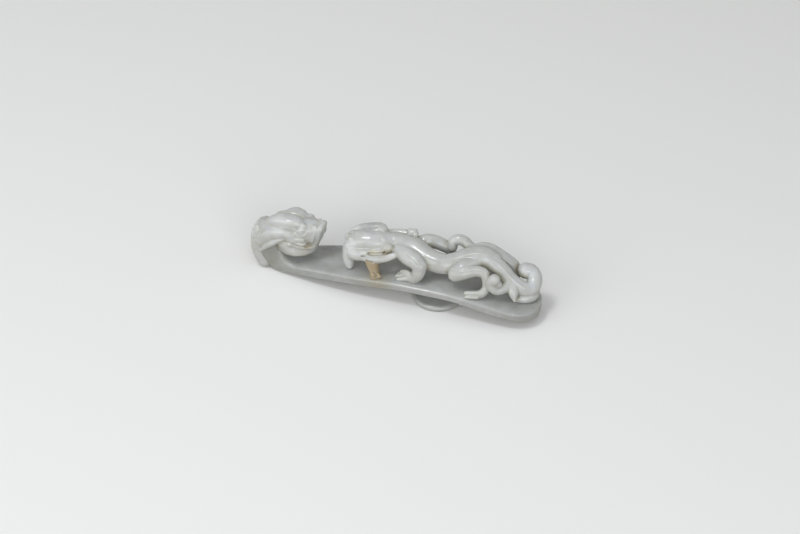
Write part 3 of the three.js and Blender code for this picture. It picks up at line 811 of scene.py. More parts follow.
@dataclass(frozen=True)
class PolishedNephrite:
    """White nephrite, cut from a pebble and polished by hand with fine grit and leather.

    The stone is a felt of fibres, so light sinks in about a millimetre and comes out soft, faint clouds drift
    through it, and the polish is silky and not glassy.

    Attributes:
        name: The finish's name.
        body: Its main colour.
        cloud: The colour of its paler clouds.
        shade: The colour of the painted shade that darkens deep hollows and creases.
        shade_strength: How strong it is in the deepest ones, from 0 to 1.
        cloud_size: How wide a cloud is, in mm.
        cloud_edges: The noise's values at which a cloud starts and is whole.
        patch_size: How wide the ragged spots in a patch of colour are, in mm.
        polish_size: How wide a spot of duller or brighter polish is, in mm.
        grain_size: How wide the ripples left by hand polishing are, in mm. The real ones are finer and wouldn't
            show.
        grain_depth: How deep they are, in mm.
        scatter: How far light travels in the stone, in mm.
        roughness: The least and the most roughness of the polish.
        stains_and_painted_light: Its patches of other colours: russet skin, painted shade and painted light.
    """

    name: str
    body: str = "#BFC0BD"
    cloud: str = "#CDCFCE"
    shade: str = "#A9A58C"
    shade_strength: float = 0.7
    cloud_size: float = 7.0
    cloud_edges: tuple[float, float] = (0.38, 0.66)
    patch_size: float = 2.4
    polish_size: float = 3.0
    grain_size: float = 1.1
    grain_depth: float = 0.05
    scatter: float = 1.2
    roughness: tuple[float, float] = (0.13, 0.22)
    stains_and_painted_light: tuple[StainAndPaintedLight, ...] = ()

    def material(self) -> bpy.types.Material:
        """Makes the node material.

        Returns:
            The material.
        """
        finish = bpy.data.materials.new(self.name)
        finish.use_nodes = True
        tree = finish.node_tree
        tree.nodes.clear()
        place = add_node(tree, "ShaderNodeTexCoord").outputs["Object"]
        colour = self._stained_and_painted(tree, place, self._clouded(tree, place))
        stone = {
            "Base Color": colour,
            "Roughness": self._polish(tree, place),
            "IOR": 1.61,  # nephrite's own
            "Subsurface Weight": 1.0,
            "Subsurface Radius": (1.0, 0.92, 0.72),  # blue travels least, which warms thin edges
            "Subsurface Scale": self.scatter * MM,
            "Normal": self._ripples(tree, place),
        }
        surface = add_node(tree, "ShaderNodeBsdfPrincipled", inputs=stone)
        add_node(tree, "ShaderNodeOutputMaterial", inputs={"Surface": surface.outputs["BSDF"]})
        return finish

    @staticmethod
    def _drift(place: Socket, size: float, detail: float) -> dict[str, object]:
        """Returns the inputs of a noise whose features are a size in mm wide."""
        texture = {"Roughness": 0.55, "Distortion": 0.6}  # soft, and drawn out a little, as felted fibres are
        return {"Vector": place, "Scale": 1 / (size * MM), "Detail": detail, **texture}

    def _clouded(self, tree: Tree, place: Socket) -> Socket:
        """Colours the stone, with its clouds and the painted shade in its hollows.

        Args:
            tree: The node tree.
            place: The place in the stone.

        Returns:
            The colour.
        """
        noise = add_node(tree, "ShaderNodeTexNoise", inputs=self._drift(place, self.cloud_size, 3.0))
        low, high = self.cloud_edges
        spread = {"Value": noise.outputs["Fac"], "From Min": low, "From Max": high}
        clouds = add_node(tree, "ShaderNodeMapRange", inputs=spread)
        tones = {0: clouds.outputs["Result"], 6: linear(self.body), 7: linear(self.cloud)}
        body = add_node(tree, "ShaderNodeMix", data_type="RGBA", inputs=tones)
        # painted shade: spots that lie in hollows are darkened towards the shade colour
        hollow = add_node(tree, "ShaderNodeAttribute", attribute_name="hollow")
        shares = {0: hollow.outputs["Fac"], 1: self.shade_strength}
        depth = add_node(tree, "ShaderNodeMath", operation="MULTIPLY", use_clamp=True, inputs=shares)
        tones = {0: depth.outputs["Value"], 6: body.outputs[2], 7: linear(self.shade)}
        return add_node(tree, "ShaderNodeMix", data_type="RGBA", inputs=tones).outputs[2]

    def _stained_and_painted(self, tree: Tree, place: Socket, colour: Socket) -> Socket:
        """Lays the patches of russet, painted shade and painted light over a colour.

        Args:
            tree: The node tree.
            place: The place in the stone.
            colour: The colour.

        Returns:
            The colour with the patches laid over it.
        """
        noise = add_node(tree, "ShaderNodeTexNoise", inputs=self._drift(place, self.patch_size, 4.0))
        spread = {"Value": noise.outputs["Fac"], "From Min": 0.3, "From Max": 0.7, "To Min": 0.5, "To Max": 1.4}
        ragged = add_node(tree, "ShaderNodeMapRange", inputs=spread).outputs["Result"]
        # each patch is russet stone, painted shade or painted light, as listed with the finishes
        for stain_or_painted_light in self.stains_and_painted_light:
            ends = {0: place, 1: tuple(value * MM for value in stain_or_painted_light.centre)}
            away = add_node(tree, "ShaderNodeVectorMath", operation="DISTANCE", inputs=ends)
            falling = {
                "Value": away.outputs["Value"],
                "From Min": stain_or_painted_light.core * stain_or_painted_light.radius * MM,
                "From Max": stain_or_painted_light.radius * MM,
                "To Min": stain_or_painted_light.strength,
                "To Max": 0.0,
            }
            fade = add_node(tree, "ShaderNodeMapRange", interpolation_type="SMOOTHSTEP", inputs=falling)
            shares = {0: fade.outputs["Result"], 1: ragged}
            patch = add_node(tree, "ShaderNodeMath", operation="MULTIPLY", use_clamp=True, inputs=shares)
            tones = {0: patch.outputs["Value"], 6: colour, 7: linear(stain_or_painted_light.colour)}
            colour = add_node(tree, "ShaderNodeMix", data_type="RGBA", inputs=tones).outputs[2]
        return colour

    def _polish(self, tree: Tree, place: Socket) -> Socket:
        """Lets the roughness wander a little, as hand polish does.

        Args:
            tree: The node tree.
            place: The place in the stone.

        Returns:
            The roughness.
        """
        low, high = self.roughness
        noise = add_node(tree, "ShaderNodeTexNoise", inputs=self._drift(place, self.polish_size, 2.0))
        spread = {"Value": noise.outputs["Fac"], "From Min": 0.35, "From Max": 0.65}
        spread |= {"To Min": low, "To Max": high}
        return add_node(tree, "ShaderNodeMapRange", inputs=spread).outputs["Result"]

    def _ripples(self, tree: Tree, place: Socket) -> Socket:
        """Bends the normal by the faint ripples that hand polish leaves.

        Args:
            tree: The node tree.
            place: The place in the stone.

        Returns:
            The normal.
        """
        noise = add_node(tree, "ShaderNodeTexNoise", inputs=self._drift(place, self.grain_size, 2.0))
        settings = {"Strength": 0.25, "Distance": self.grain_depth * MM, "Height": noise.outputs["Fac"]}
        return add_node(tree, "ShaderNodeBump", inputs=settings).outputs["Normal"]


@dataclass(frozen=True)
class MattCloth:
    """Pale cotton backdrop cloth, woven so finely that it looks even and matt.

    Attributes:
        name: The finish's name.
        seen: Its colour to the eye, which its own polish and the hook's mirror too.
        thrown: The darker colour that it throws back at the hook, as a table in a darker room does.
        roughness: Its roughness.
    """

    name: str = "pale_backdrop"
    seen: str = "#F0F0EE"
    thrown: str = "#8A806C"
    roughness: float = 0.9

    def material(self) -> bpy.types.Material:
        """Makes the node material.

        Returns:
            The material.
        """
        finish = bpy.data.materials.new(self.name)
        finish.use_nodes = True
        tree = finish.node_tree
        tree.nodes.clear()
        ray = add_node(tree, "ShaderNodeLightPath").outputs
        rays = {0: ray["Is Glossy Ray"], 1: ray["Is Transmission Ray"]}
        mirrored = add_node(tree, "ShaderNodeMath", operation="MAXIMUM", inputs=rays)
        rays = {0: ray["Is Camera Ray"], 1: mirrored.outputs["Value"]}
        seen = add_node(tree, "ShaderNodeMath", operation="MAXIMUM", inputs=rays)
        tones = {0: seen.outputs["Value"], 6: linear(self.thrown), 7: linear(self.seen)}
        colour = add_node(tree, "ShaderNodeMix", data_type="RGBA", inputs=tones)
        matt = {"Base Color": colour.outputs[2], "Roughness": self.roughness}
        cloth = add_node(tree, "ShaderNodeBsdfPrincipled", inputs=matt)
        add_node(tree, "ShaderNodeOutputMaterial", inputs={"Surface": cloth.outputs["BSDF"]})
        return finish


# The carving is the pebble's whitest stone. The two mouths and the chilong's cheek are tinged with brown, as on
# the real one.
# The jaw's underside and root, the muzzle's front, the crest, the tail's last bend and the body get painted
# shade.
WHITE_NEPHRITE = PolishedNephrite(
    "polished_white_nephrite",
    stains_and_painted_light=(
        StainAndPaintedLight((-18.6, -4.6, 18.6), 3.4, 0.45, "#B3A487"),  # the chilong's cheek
        StainAndPaintedLight((-23.0, -5.0, 18.0), 2.6, 0.5, "#B4AB8B"),  # its mouth
        StainAndPaintedLight((-48.4, -5.0, 14.4), 2.3, 0.6, "#A5977A"),  # the dragon's mouth
        StainAndPaintedLight((-42.4, 0.8, 18.5), 4.2, 0.75, "#9C9C86"),  # the front of its muzzle: a brownish tinge, and painted shade on that face, which the light misses
        StainAndPaintedLight((-27.5, 4.0, 23.0), 6.0, 0.55, "#8F9090"),  # painted shade that darkens the chilong's crest, which the top light makes bright
        StainAndPaintedLight((34.8, 4.0, 9.0), 5.0, 0.45, "#A09F99"),  # painted shade on the last bend of its tail
        StainAndPaintedLight((8.0, 0.0, 18.0), 45.0, 0.2, "#9F9D95"),  # painted shade over its body, which makes it a little greyer than its head
        StainAndPaintedLight((-51.0, -4.5, 8.8), 4.0, 0.6, "#B0A98C"),  # painted shade under the dragon's jaw
        StainAndPaintedLight((-58.5, -6.0, 9.0), 6.0, 0.7, "#9B9C92"),  # painted shade at the jaw's root, where it meets the neck
    ),
)
# The plate, the neck and the button are painted greyer than the carving, a copy of the same stone in painted
# shade, which makes the white carving stand out.
SHADED_NEPHRITE = PolishedNephrite(
    "polished_nephrite_painted_shade",
    # painted shade: the white stone's colours made darker for the shank and the button
    body="#A6A7A3",
    cloud="#B2B4B3",
    stains_and_painted_light=(
        StainAndPaintedLight((-64.0, -5.5, 6.0), 11.0, 0.65, "#96978C"),  # painted shade on the neck's side, under the head
        StainAndPaintedLight((-62.0, -5.0, 18.5), 6.0, 0.9, "#BFC0BD"),  # the neck's top, where the painted shade gives way to the white head's colour
        StainAndPaintedLight((-20.0, -9.6, 8.0), 7.0, 0.45, "#A89C82"),  # the plate's near edge by the sprig
        StainAndPaintedLight((-43.0, 8.0, 7.0), 9.0, 0.45, "#77787A"),  # painted shade on its far edge behind the dragon's head
        StainAndPaintedLight((-18.0, 4.0, 6.0), 8.0, 0.5, "#BFC0BD"),  # painted light on the plate under the chilong's head, over its shadow
        StainAndPaintedLight((6.0, 0.0, 7.0), 26.0, 0.4, "#C2C3C1"),  # and painted light under its body, over its shadow
        StainAndPaintedLight((32.0, -5.0, 7.3), 7.0, 0.3, "#8B8B88"),  # painted shade on the plate by the tail end
        StainAndPaintedLight((34.5, 2.5, 9.0), 4.0, 0.25),  # a little russet under the last bend of its tail
    ),
)
# The pebble's skin is stained russet by iron, and the sprig is cut where some of that skin was left.
RUSSET_NEPHRITE = PolishedNephrite(
    "russet_nephrite_skin", body="#A49679", cloud="#B5A98F", stains_and_painted_light=(StainAndPaintedLight((-22.0, -7.2, 12.5), 3.5, 0.3),)
)


# Sub-assemblies


@dataclass(frozen=True)
class Marks:
    """Small forms of one kind on a carving, which are raised from it or cut into it.

    Attributes:
        softness: How softly they run into the stone, in mm.
        cut: Whether they are cut in.
        threads: Each one's rows: three shares, and a radius in mm.
        beads: Each one's middle in shares, and its three radii in mm.
    """

    softness: float
    cut: bool = False
    threads: Sequence[Table] = ()
    beads: Sequence[tuple[Sequence[float], Sequence[float]]] = ()


@dataclass
class CarvedForm:
    """What every carved form has: the hook's sizes, a finish, and the ways to mark and to skin its stone.

    Attributes:
        sizes: The hook's sizes.
        finish: The form's material.
        pitch: The spacing of the grid that it is sculpted on, in mm.
        hollow_reach: How far out from the skin it is looked whether a spot lies in a hollow, which the finish
            darkens with painted shade, in mm.
    """

    sizes: HookSizes
    finish: bpy.types.Material
    pitch: float = 0.2
    hollow_reach: float = 1.6

    def place(self, share: Sequence[float]) -> np.ndarray:
        """Returns the place of a share of the plate and of the relief on it."""
        return self.sizes.on_plate([(*share, 0)], 1.0)[0, :3]

    def mark(self, stone: Stone, marks: Marks) -> None:
        """Raises small forms from a stone, or cuts them into it.

        Args:
            stone: The stone.
            marks: The small forms.
        """
        forms: list[Strand | Bead] = [Bead(self.place(share), radii) for share, radii in marks.beads]
        for rows in marks.threads:
            knots = np.array([[*self.place(row[:3]), row[3], row[3]] for row in rows])
            forms.append(Strand(knots, step=THREAD_STEP))
        for form in forms:
            (stone.cut if marks.cut else stone.add)(form, marks.softness)

    def skin(
        self, name: str, stone: Stone, nodes: Sequence[str], slot: JadeSlot = JadeSlot.WHITE
    ) -> bpy.types.Object:
        """Skins a stone and puts the piece in place of the plain forms that it stands for.

        Args:
            name: The piece's name.
            stone: The finished stone.
            nodes: The plain forms.
            slot: The material slot that it takes its finish from. It is not used.

        Returns:
            The piece.
        """
        vertices, quads = stone.skin()
        piece = make_piece(name, vertices, [quads], self.finish)
        # painted shade: the less room there is outside a spot, the more it lies in a hollow and the darker the
        # finish paints it
        room = stone.sample(vertices + self.hollow_reach * stone.slopes(vertices)) / self.hollow_reach
        hollow = piece.data.attributes.new("hollow", "FLOAT", "POINT")
        hollow.data.foreach_set("value", np.clip(1 - room, 0, 1).astype(np.float32))
        return seat(piece, nodes)


def seat(piece: bpy.types.Object, nodes: Sequence[str]) -> bpy.types.Object:
    """Puts a finished piece in place of plain forms.

    Args:
        piece: The piece.
        nodes: The plain forms that it stands for.

    Returns:
        The piece.
    """
    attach(piece, "root")
    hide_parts(*nodes)
    return piece


@dataclass
class HookShank:
    """The plate and the neck, one curved piece with a blunt oval tail end and a flat heel.

    Attributes:
        sizes: The hook's sizes.
        finish: Its material.
        neck_rows: The neck's profile: shares of its reach back and of its rise over the table, for a point of
            the outer face and for one of the throat's side, then the half width as a share of the neck's own,
            and where it is widest as a share of the way from the outer face.
        neck_top_share: The neck's top, as a share of the head's height.
        tail_round_share: The station at which the tail end's outline starts to close in.
        tail_round_power: How blunt the tail end is: 2 would be a plain ellipse.
        plate_squareness: The power that the plate's section is drawn with: 1 is an oval, and less is squarer.
        foot_squareness: The same where the plate meets the neck.
        neck_squareness: The same along the neck.
        foot_length: How far on either side of the neck's foot the section changes, in mm.
        fillet_reach: How far out on the plate the stone that fills the throat's corner begins, in mm.
        fillet_height: How high that stone stands over the plate at the neck's foot, in mm.
        plate_rings: How many rings the plate has up to its tail.
        tail_rings: How many its tail has, closer and closer to its end.
        neck_rings: How many there are to each of the neck's rows.
        tail_start: The station where the tail's rings start.
        tail_span: How far they reach from there, just short of the end, which a point closes.
        quarter_sides: How many sides a quarter of a ring has.
    """

    sizes: HookSizes
    finish: bpy.types.Material
    neck_rows: Table = (
        (0.21, -0.006, 0.044, 0.394, 1.07, 0.34), (0.44, -0.003, 0.079, 0.425, 1.01, 0.4),
        (0.687, 0.065, 0.115, 0.459, 0.99, 0.46), (0.89, 0.191, 0.145, 0.497, 0.99, 0.5),
        (0.987, 0.359, 0.167, 0.535, 1, 0.5), (1, 0.526, 0.176, 0.574, 1, 0.5),
        (0.934, 0.717, 0.176, 0.602, 1, 0.5), (0.74, 0.88, 0.159, 0.626, 1, 0.5),
        (0.44, 0.978, 0.115, 0.64, 0.96, 0.5), (0.053, 0.982, 0, 0.65, 0.8, 0.5),
    )
    neck_top_share: float = 0.73
    tail_round_share: float = 0.58
    tail_round_power: float = 2.8
    plate_squareness: float = 0.34
    foot_squareness: float = 0.5
    neck_squareness: float = 0.72
    foot_length: float = 12.0
    fillet_reach: float = 6.0
    fillet_height: float = 3.2
    plate_rings: int = 230
    tail_rings: int = 90
    neck_rings: int = 10
    tail_start: float = 0.5
    tail_span: float = 0.4998
    quarter_sides: int = 24

    def neck_profile(self, steps: int) -> tuple[np.ndarray, np.ndarray]:
        """Draws the neck's profile from its foot to its end in the head.

        Args:
            steps: How many points to draw for each of the profile's rows.

        Returns:
            The outer face's points with the half width and the belly (x, y, z, half width, belly), and those of
            the throat's side.
        """
        sizes = self.sizes
        top = sizes.head_floor + self.neck_top_share * sizes.head_height
        back, rise, inner_back, inner_rise, wide, belly = np.array(self.neck_rows, float).T
        foot, reach = -sizes.hook_reach, sizes.neck_reach
        own = [foot - back * reach, 0 * back, rise * top, wide * sizes.neck_half_width, belly]
        own_inner = [foot - inner_back * reach, 0 * back, inner_rise * top]
        # two stations of the plate come first, so that the neck runs on from it
        lead, lead_inner = self._plate_profile(np.array([-0.975, -1]))
        knots = np.vstack([lead, np.stack(own, axis=1)])
        inner_knots = np.vstack([lead_inner, np.stack(own_inner, axis=1)])
        count = steps * (len(knots) - 1) + 1
        return smooth_path(knots, count)[steps:], smooth_path(inner_knots, count)[steps:]

    def build(self) -> list[bpy.types.Object]:
        """Lofts the shank.

        Returns:
            Its one piece.
        """
        along = np.linspace(0, 1, self.tail_rings)[1:]
        tail = self.tail_start + self.tail_span * np.sin(along * np.pi / 2)
        stations = np.concatenate([np.linspace(-1, self.tail_start, self.plate_rings), tail])
        closing = np.maximum(0, (stations - self.tail_round_share) / (1 - self.tail_round_share))
        outer, inner = self._plate_profile(stations)
        outer[:, 3] *= (1 - closing**self.tail_round_power) ** (1 / self.tail_round_power)
        plate = self._rings(outer, inner, self.plate_squareness)
        outer, inner = (line[1:] for line in self.neck_profile(self.neck_rings))
        neck = self._rings(outer, inner, self.neck_squareness)
        rings = np.concatenate([neck[::-1], plate])
        np.maximum(rings[..., 2], 0, out=rings[..., 2])  # the heel is polished flat where the hook rests
        sizes = self.sizes
        tip = np.array([sizes.tail_reach, 0, float(sizes.plate_top(1) - sizes.plate_depth(1) / 2)])
        piece = make_piece("carved_shank", *loft(rings, rings[0].mean(axis=0), tip), self.finish)
        return [seat(piece, ["hook_shank"])]

    def _plate_profile(self, stations: np.ndarray) -> tuple[np.ndarray, np.ndarray]:
        """Draws the plate's profile.

        Args:
            stations: The stations to draw it at.

        Returns:
            The outer face's points and the upper side's, in the columns that the neck's have.
        """
        sizes = self.sizes
        reach, top, depth = sizes.reach(stations), sizes.plate_top(stations), sizes.plate_depth(stations)
        fillet = self.fillet_height * np.maximum(0, 1 - (reach + sizes.hook_reach) / self.fillet_reach) ** 2
        half_width = sizes.plate_half_width * PLATE_WIDTH(stations)
        outer = [reach, 0 * reach, top - depth, half_width, depth / 2 / (depth + fillet)]
        return np.stack(outer, axis=1), np.stack([reach, 0 * reach, top + fillet], axis=1)

    def _rings(self, outer: np.ndarray, inner: np.ndarray, squareness: float) -> np.ndarray:
        """Lays rounded rings between two lines of the profile.

        Args:
            outer: The outer face's line, with the half width and the belly.
            inner: The inner side's line.
            squareness: The squareness far from the neck's foot.

        Returns:
            The rings, as ring, point and coordinate.
        """
        foot = self._plate_profile(np.array([-1.0]))[0][0, :3]
        left = eased_fall(np.linalg.norm(outer[:, :3] - foot, axis=1) / self.foot_length)
        power = (squareness + left * (self.foot_squareness - squareness))[:, None]
        steps = np.arange(self.quarter_sides) / self.quarter_sides
        eased = steps**2 / (steps**2 + (1 - steps) ** 2)  # close together at the section's corners
        angles = (np.arange(4)[:, None] + eased).ravel() * np.pi / 2
        across, over = (np.sign(np.round(f(angles), 9)) * np.abs(f(angles)) ** power for f in (np.cos, np.sin))
        belly = outer[:, 4, None]
        share = belly + over * np.where(over > 0, 1 - belly, belly)
        rings = outer[:, None, :3] + share[..., None] * (inner - outer[:, :3])[:, None]
        rings[..., 1] += outer[:, 3, None] * across
        return rings


@dataclass
class Button:
    """The round button under the plate: a disc with a full edge on a short stem that flares at both roots.

    Attributes:
        sizes: The hook's sizes.
        finish: Its material.
        root_share: How deep the stem's roots reach into what carries them, as a share of its thickness.
        edge_power: How full the disc's edge is: 1 is half an oval, and less is fuller.
        flare_power: How close to its roots the stem flares.
        disc_sides: How many sides the disc is turned with.
        stem_sides: How many sides the stem is turned with.
    """

    sizes: HookSizes
    finish: bpy.types.Material
    root_share: float = 0.25
    edge_power: float = 0.75
    flare_power: float = 4.0
    disc_sides: int = 160
    stem_sides: int = 96

    def build(self) -> list[bpy.types.Object]:
        """Turns the disc and the stem.

        Returns:
            Its two pieces.
        """
        disc = make_piece("carved_button_disc", *turned(self._disc_profile(), self.disc_sides), self.finish)
        stem = make_piece("carved_button_stem", *turned(self._stem_profile(), self.stem_sides), self.finish)
        return [seat(disc, ["button_disc"]), seat(stem, ["button_stem"])]

    def _disc_profile(self) -> np.ndarray:
        """Draws the disc's profile: flat faces, and an edge that bulges as half an oval does.

        Returns:
            Radius and height, from the lowest point of the axis to the highest.
        """
        sizes = self.sizes
        half = sizes.button_thickness / 2
        angles = np.linspace(-np.pi / 2, np.pi / 2, 25)
        bulge = np.abs(np.cos(angles)) ** self.edge_power
        radius = sizes.button_face_radius + (sizes.button_radius - sizes.button_face_radius) * bulge
        edge = np.stack([radius, half + half * np.sin(angles)], axis=1)
        inner = sizes.button_face_radius / 2
        return np.vstack([[0, 0], [inner, 0], edge, [inner, 2 * half], [0, 2 * half]])

    def _stem_profile(self) -> np.ndarray:
        """Draws the stem's profile, slim in the middle and flared at both roots.

        Returns:
            Radius and height, from the lowest point of the axis to the highest.
        """
        sizes = self.sizes
        underside = float(sizes.plate_top(0) - sizes.plate_depth(0))
        shares = np.linspace(0, 1, 25)
        radius = sizes.stem_radius + sizes.stem_flare * np.abs(2 * shares - 1) ** self.flare_power
        height = sizes.button_thickness + shares * (underside - sizes.button_thickness)
        low = (1 - self.root_share) * sizes.button_thickness
        high = underside + self.root_share * sizes.plate_thickness
        wall = np.stack([radius, height], axis=1)
        return np.vstack([[0, low], [radius[0], low], wall, [radius[-1], high], [0, high]])


@dataclass
class DragonMane:
    """The scalloped band of curled hair down the back of the neck.

    Attributes:
        shank: The shank, whose neck it lies on.
        span: Where it starts and ends, as shares of the neck's profile.
        width_share: Its half width, as a share of the neck's.
        thickness_share: Its thickness, as a share of its relief.
        scallops: How many curls it has.
        ripple_share: How much its thickness swells at each curl.
        knob_share: The radius of the knob that ends it, as a share of half its thickness.
        knob_sunk_share: How much lower the knob stands than the band, as a share of the relief.
        knob_width: Its half width, as a share of the band's.
        knob_power: How square it is.
        knob_softness: How softly it joins the band, in mm.
        knob_curls: The small curls on the knob: shares of its size along the band, across it and outward.
        knob_curl_spread: How far out they lie, as shares of the knob's radius and of the band's half width.
        knob_curl_radius: Their radius, in mm.
        knob_curl_softness: How softly they join the knob, in mm.
        power: How square the band's section is.
        softness: How softly the band joins the head, in mm.
        curl_steps: How many points of the path there are to a curl.
        curl_rows: A curl's run over the band: points of the path onward, share across and share outward.
        curl_radius: Its radius, in mm.
        curl_softness: How softly it joins the band, in mm.
        curl_step: The spacing of the points along it, in mm.
        cut_radius: The radius of the line cut under it, in mm.
        cut_softness: How round the line's edges are, in mm.
        cut_lift: How far the line's middle lies above the curl's, in mm.
    """

    shank: HookShank
    span: tuple[float, float] = (0.34, 0.672)
    width_share: float = 0.98
    thickness_share: float = 2.7
    scallops: int = 13
    ripple_share: float = 0.05
    knob_share: float = 0.67
    knob_sunk_share: float = 0.12
    knob_curls: Table = (
        (-0.75, 0.3, 0.6), (-0.1, 0.35, 0.95), (0.5, 0.4, 0.8), (-0.5, 0.75, 0.55), (0.15, 0.75, 0.65),
        (0.75, 0.75, 0.3), (-0.2, 0.98, 0.1), (0.4, 0.98, -0.1),
    )
    knob_width: float = 0.87
    knob_power: float = 2.4
    knob_softness: float = 0.5
    knob_curl_spread: tuple[float, float] = (0.84, 0.8)
    knob_curl_radius: float = 0.7
    knob_curl_softness: float = 0.6
    power: float = 2.9
    softness: float = 0.9
    curl_steps: int = 20
    curl_rows: Table = ((9, 0.0, 1.0), (5, 0.34, 0.98), (-2, 0.66, 0.86), (-5, 0.88, 0.6), (0, 0.97, 0.3))
    curl_radius: float = 0.36
    curl_softness: float = 0.3
    curl_step: float = 0.35
    cut_radius: float = 0.16
    cut_softness: float = 0.15
    cut_lift: float = 0.1

    def carve(self, stone: Stone) -> None:
        """Adds the near half of the band to a stone.

        Args:
            stone: The stone, whose last layer across lies on the middle plane.
        """
        sizes = self.shank.sizes
        count = self.curl_steps * self.scallops + 1
        path, outward = self._path(count)
        half = self.thickness_share * sizes.mane_relief / 2
        half_width = self.width_share * sizes.neck_half_width
        turns = 2 * np.pi * np.arange(count) / self.curl_steps
        depth = half * (1 + self.ripple_share * np.cos(turns))
        band = np.hstack([path, depth[:, None], np.full((count, 1), half_width)])
        stone.add(Strand(band, over=np.array([0.0, 1, 0]), power=self.power, step=0.3), self.softness)
        knob = half * self.knob_share
        onward = np.cross([0, 1, 0], outward[-1])
        sunk = self.knob_sunk_share * sizes.mane_relief
        knob_at = path[-1] + outward[-1] * (half - knob - sunk) + onward * knob
        knob_radii = (knob, self.knob_width * half_width, knob)
        stone.add(Bead(knob_at, knob_radii, power=self.knob_power), self.knob_softness)
        round_share, wide_share = self.knob_curl_spread
        for along, across, out in self.knob_curls:
            round_it = round_share * knob * (along * onward + out * outward[-1])
            place = knob_at + round_it - [0, wide_share * half_width * across, 0]
            stone.add(Bead(place, (self.knob_curl_radius,) * 3), self.knob_curl_softness)
        for i in range(self.scallops + 1):
            self._carve_curl(stone, path, outward, i, half, half_width)
        stone.clip_below(0)

    def _path(self, count: int) -> tuple[np.ndarray, np.ndarray]:
        """Runs the band's middle up the neck.

        Args:
            count: How many points it has.

        Returns:
            The points, and the directions outward from the neck.
        """
        sizes = self.shank.sizes
        fine = self.shank.neck_profile(80)[0][:, :3]
        pick = np.round(np.linspace(*self.span, count) * (len(fine) - 1)).astype(int)
        outward = np.cross(tangents_of(fine), [0, 1, 0])[pick]
        half = self.thickness_share * sizes.mane_relief / 2
        return fine[pick] + outward * (sizes.mane_relief - half), outward

    def _carve_curl(
        self, stone: Stone, path: np.ndarray, outward: np.ndarray, number: int, half: float, half_width: float
    ) -> None:
        """Raises one curl on the band and cuts the line under it, which the two lowest have no room for.

        Args:
            stone: The stone.
            path: The band's middle.
            outward: The directions outward from the neck.
            number: The curl's number, from the heel up.
            half: Half the band's thickness.
            half_width: Half its width.
        """
        reach = len(path) - 1
        at = self.curl_steps * number
        rows = []
        for along, across, lift in self.curl_rows:
            i = min(max(at + along, 0), reach)
            place = path[i] + outward[i] * half * lift + np.array([0, -across * half_width, 0])
            rows.append([*place, self.curl_radius, self.curl_radius])
        rows = np.array(rows)
        stone.add(Strand(rows, step=self.curl_step), self.curl_softness)
        if number > 1:
            rows[:, :3] += path[at - self.curl_steps // 2] - path[at] + self.cut_lift * outward[at]
            rows[:, 3:] = self.cut_radius
            stone.cut(Strand(rows, step=self.curl_step), self.cut_softness)


@dataclass(frozen=True)
class Mass:
    """A main mass of the dragon's head.

    Attributes:
        power: 2 for an oval section, and more for a squarer one.
        softness: How softly it joins the others, in mm.
        rows: Shares along, across and up the head, then half width and half height.
    """

    power: float
    softness: float
    rows: Table


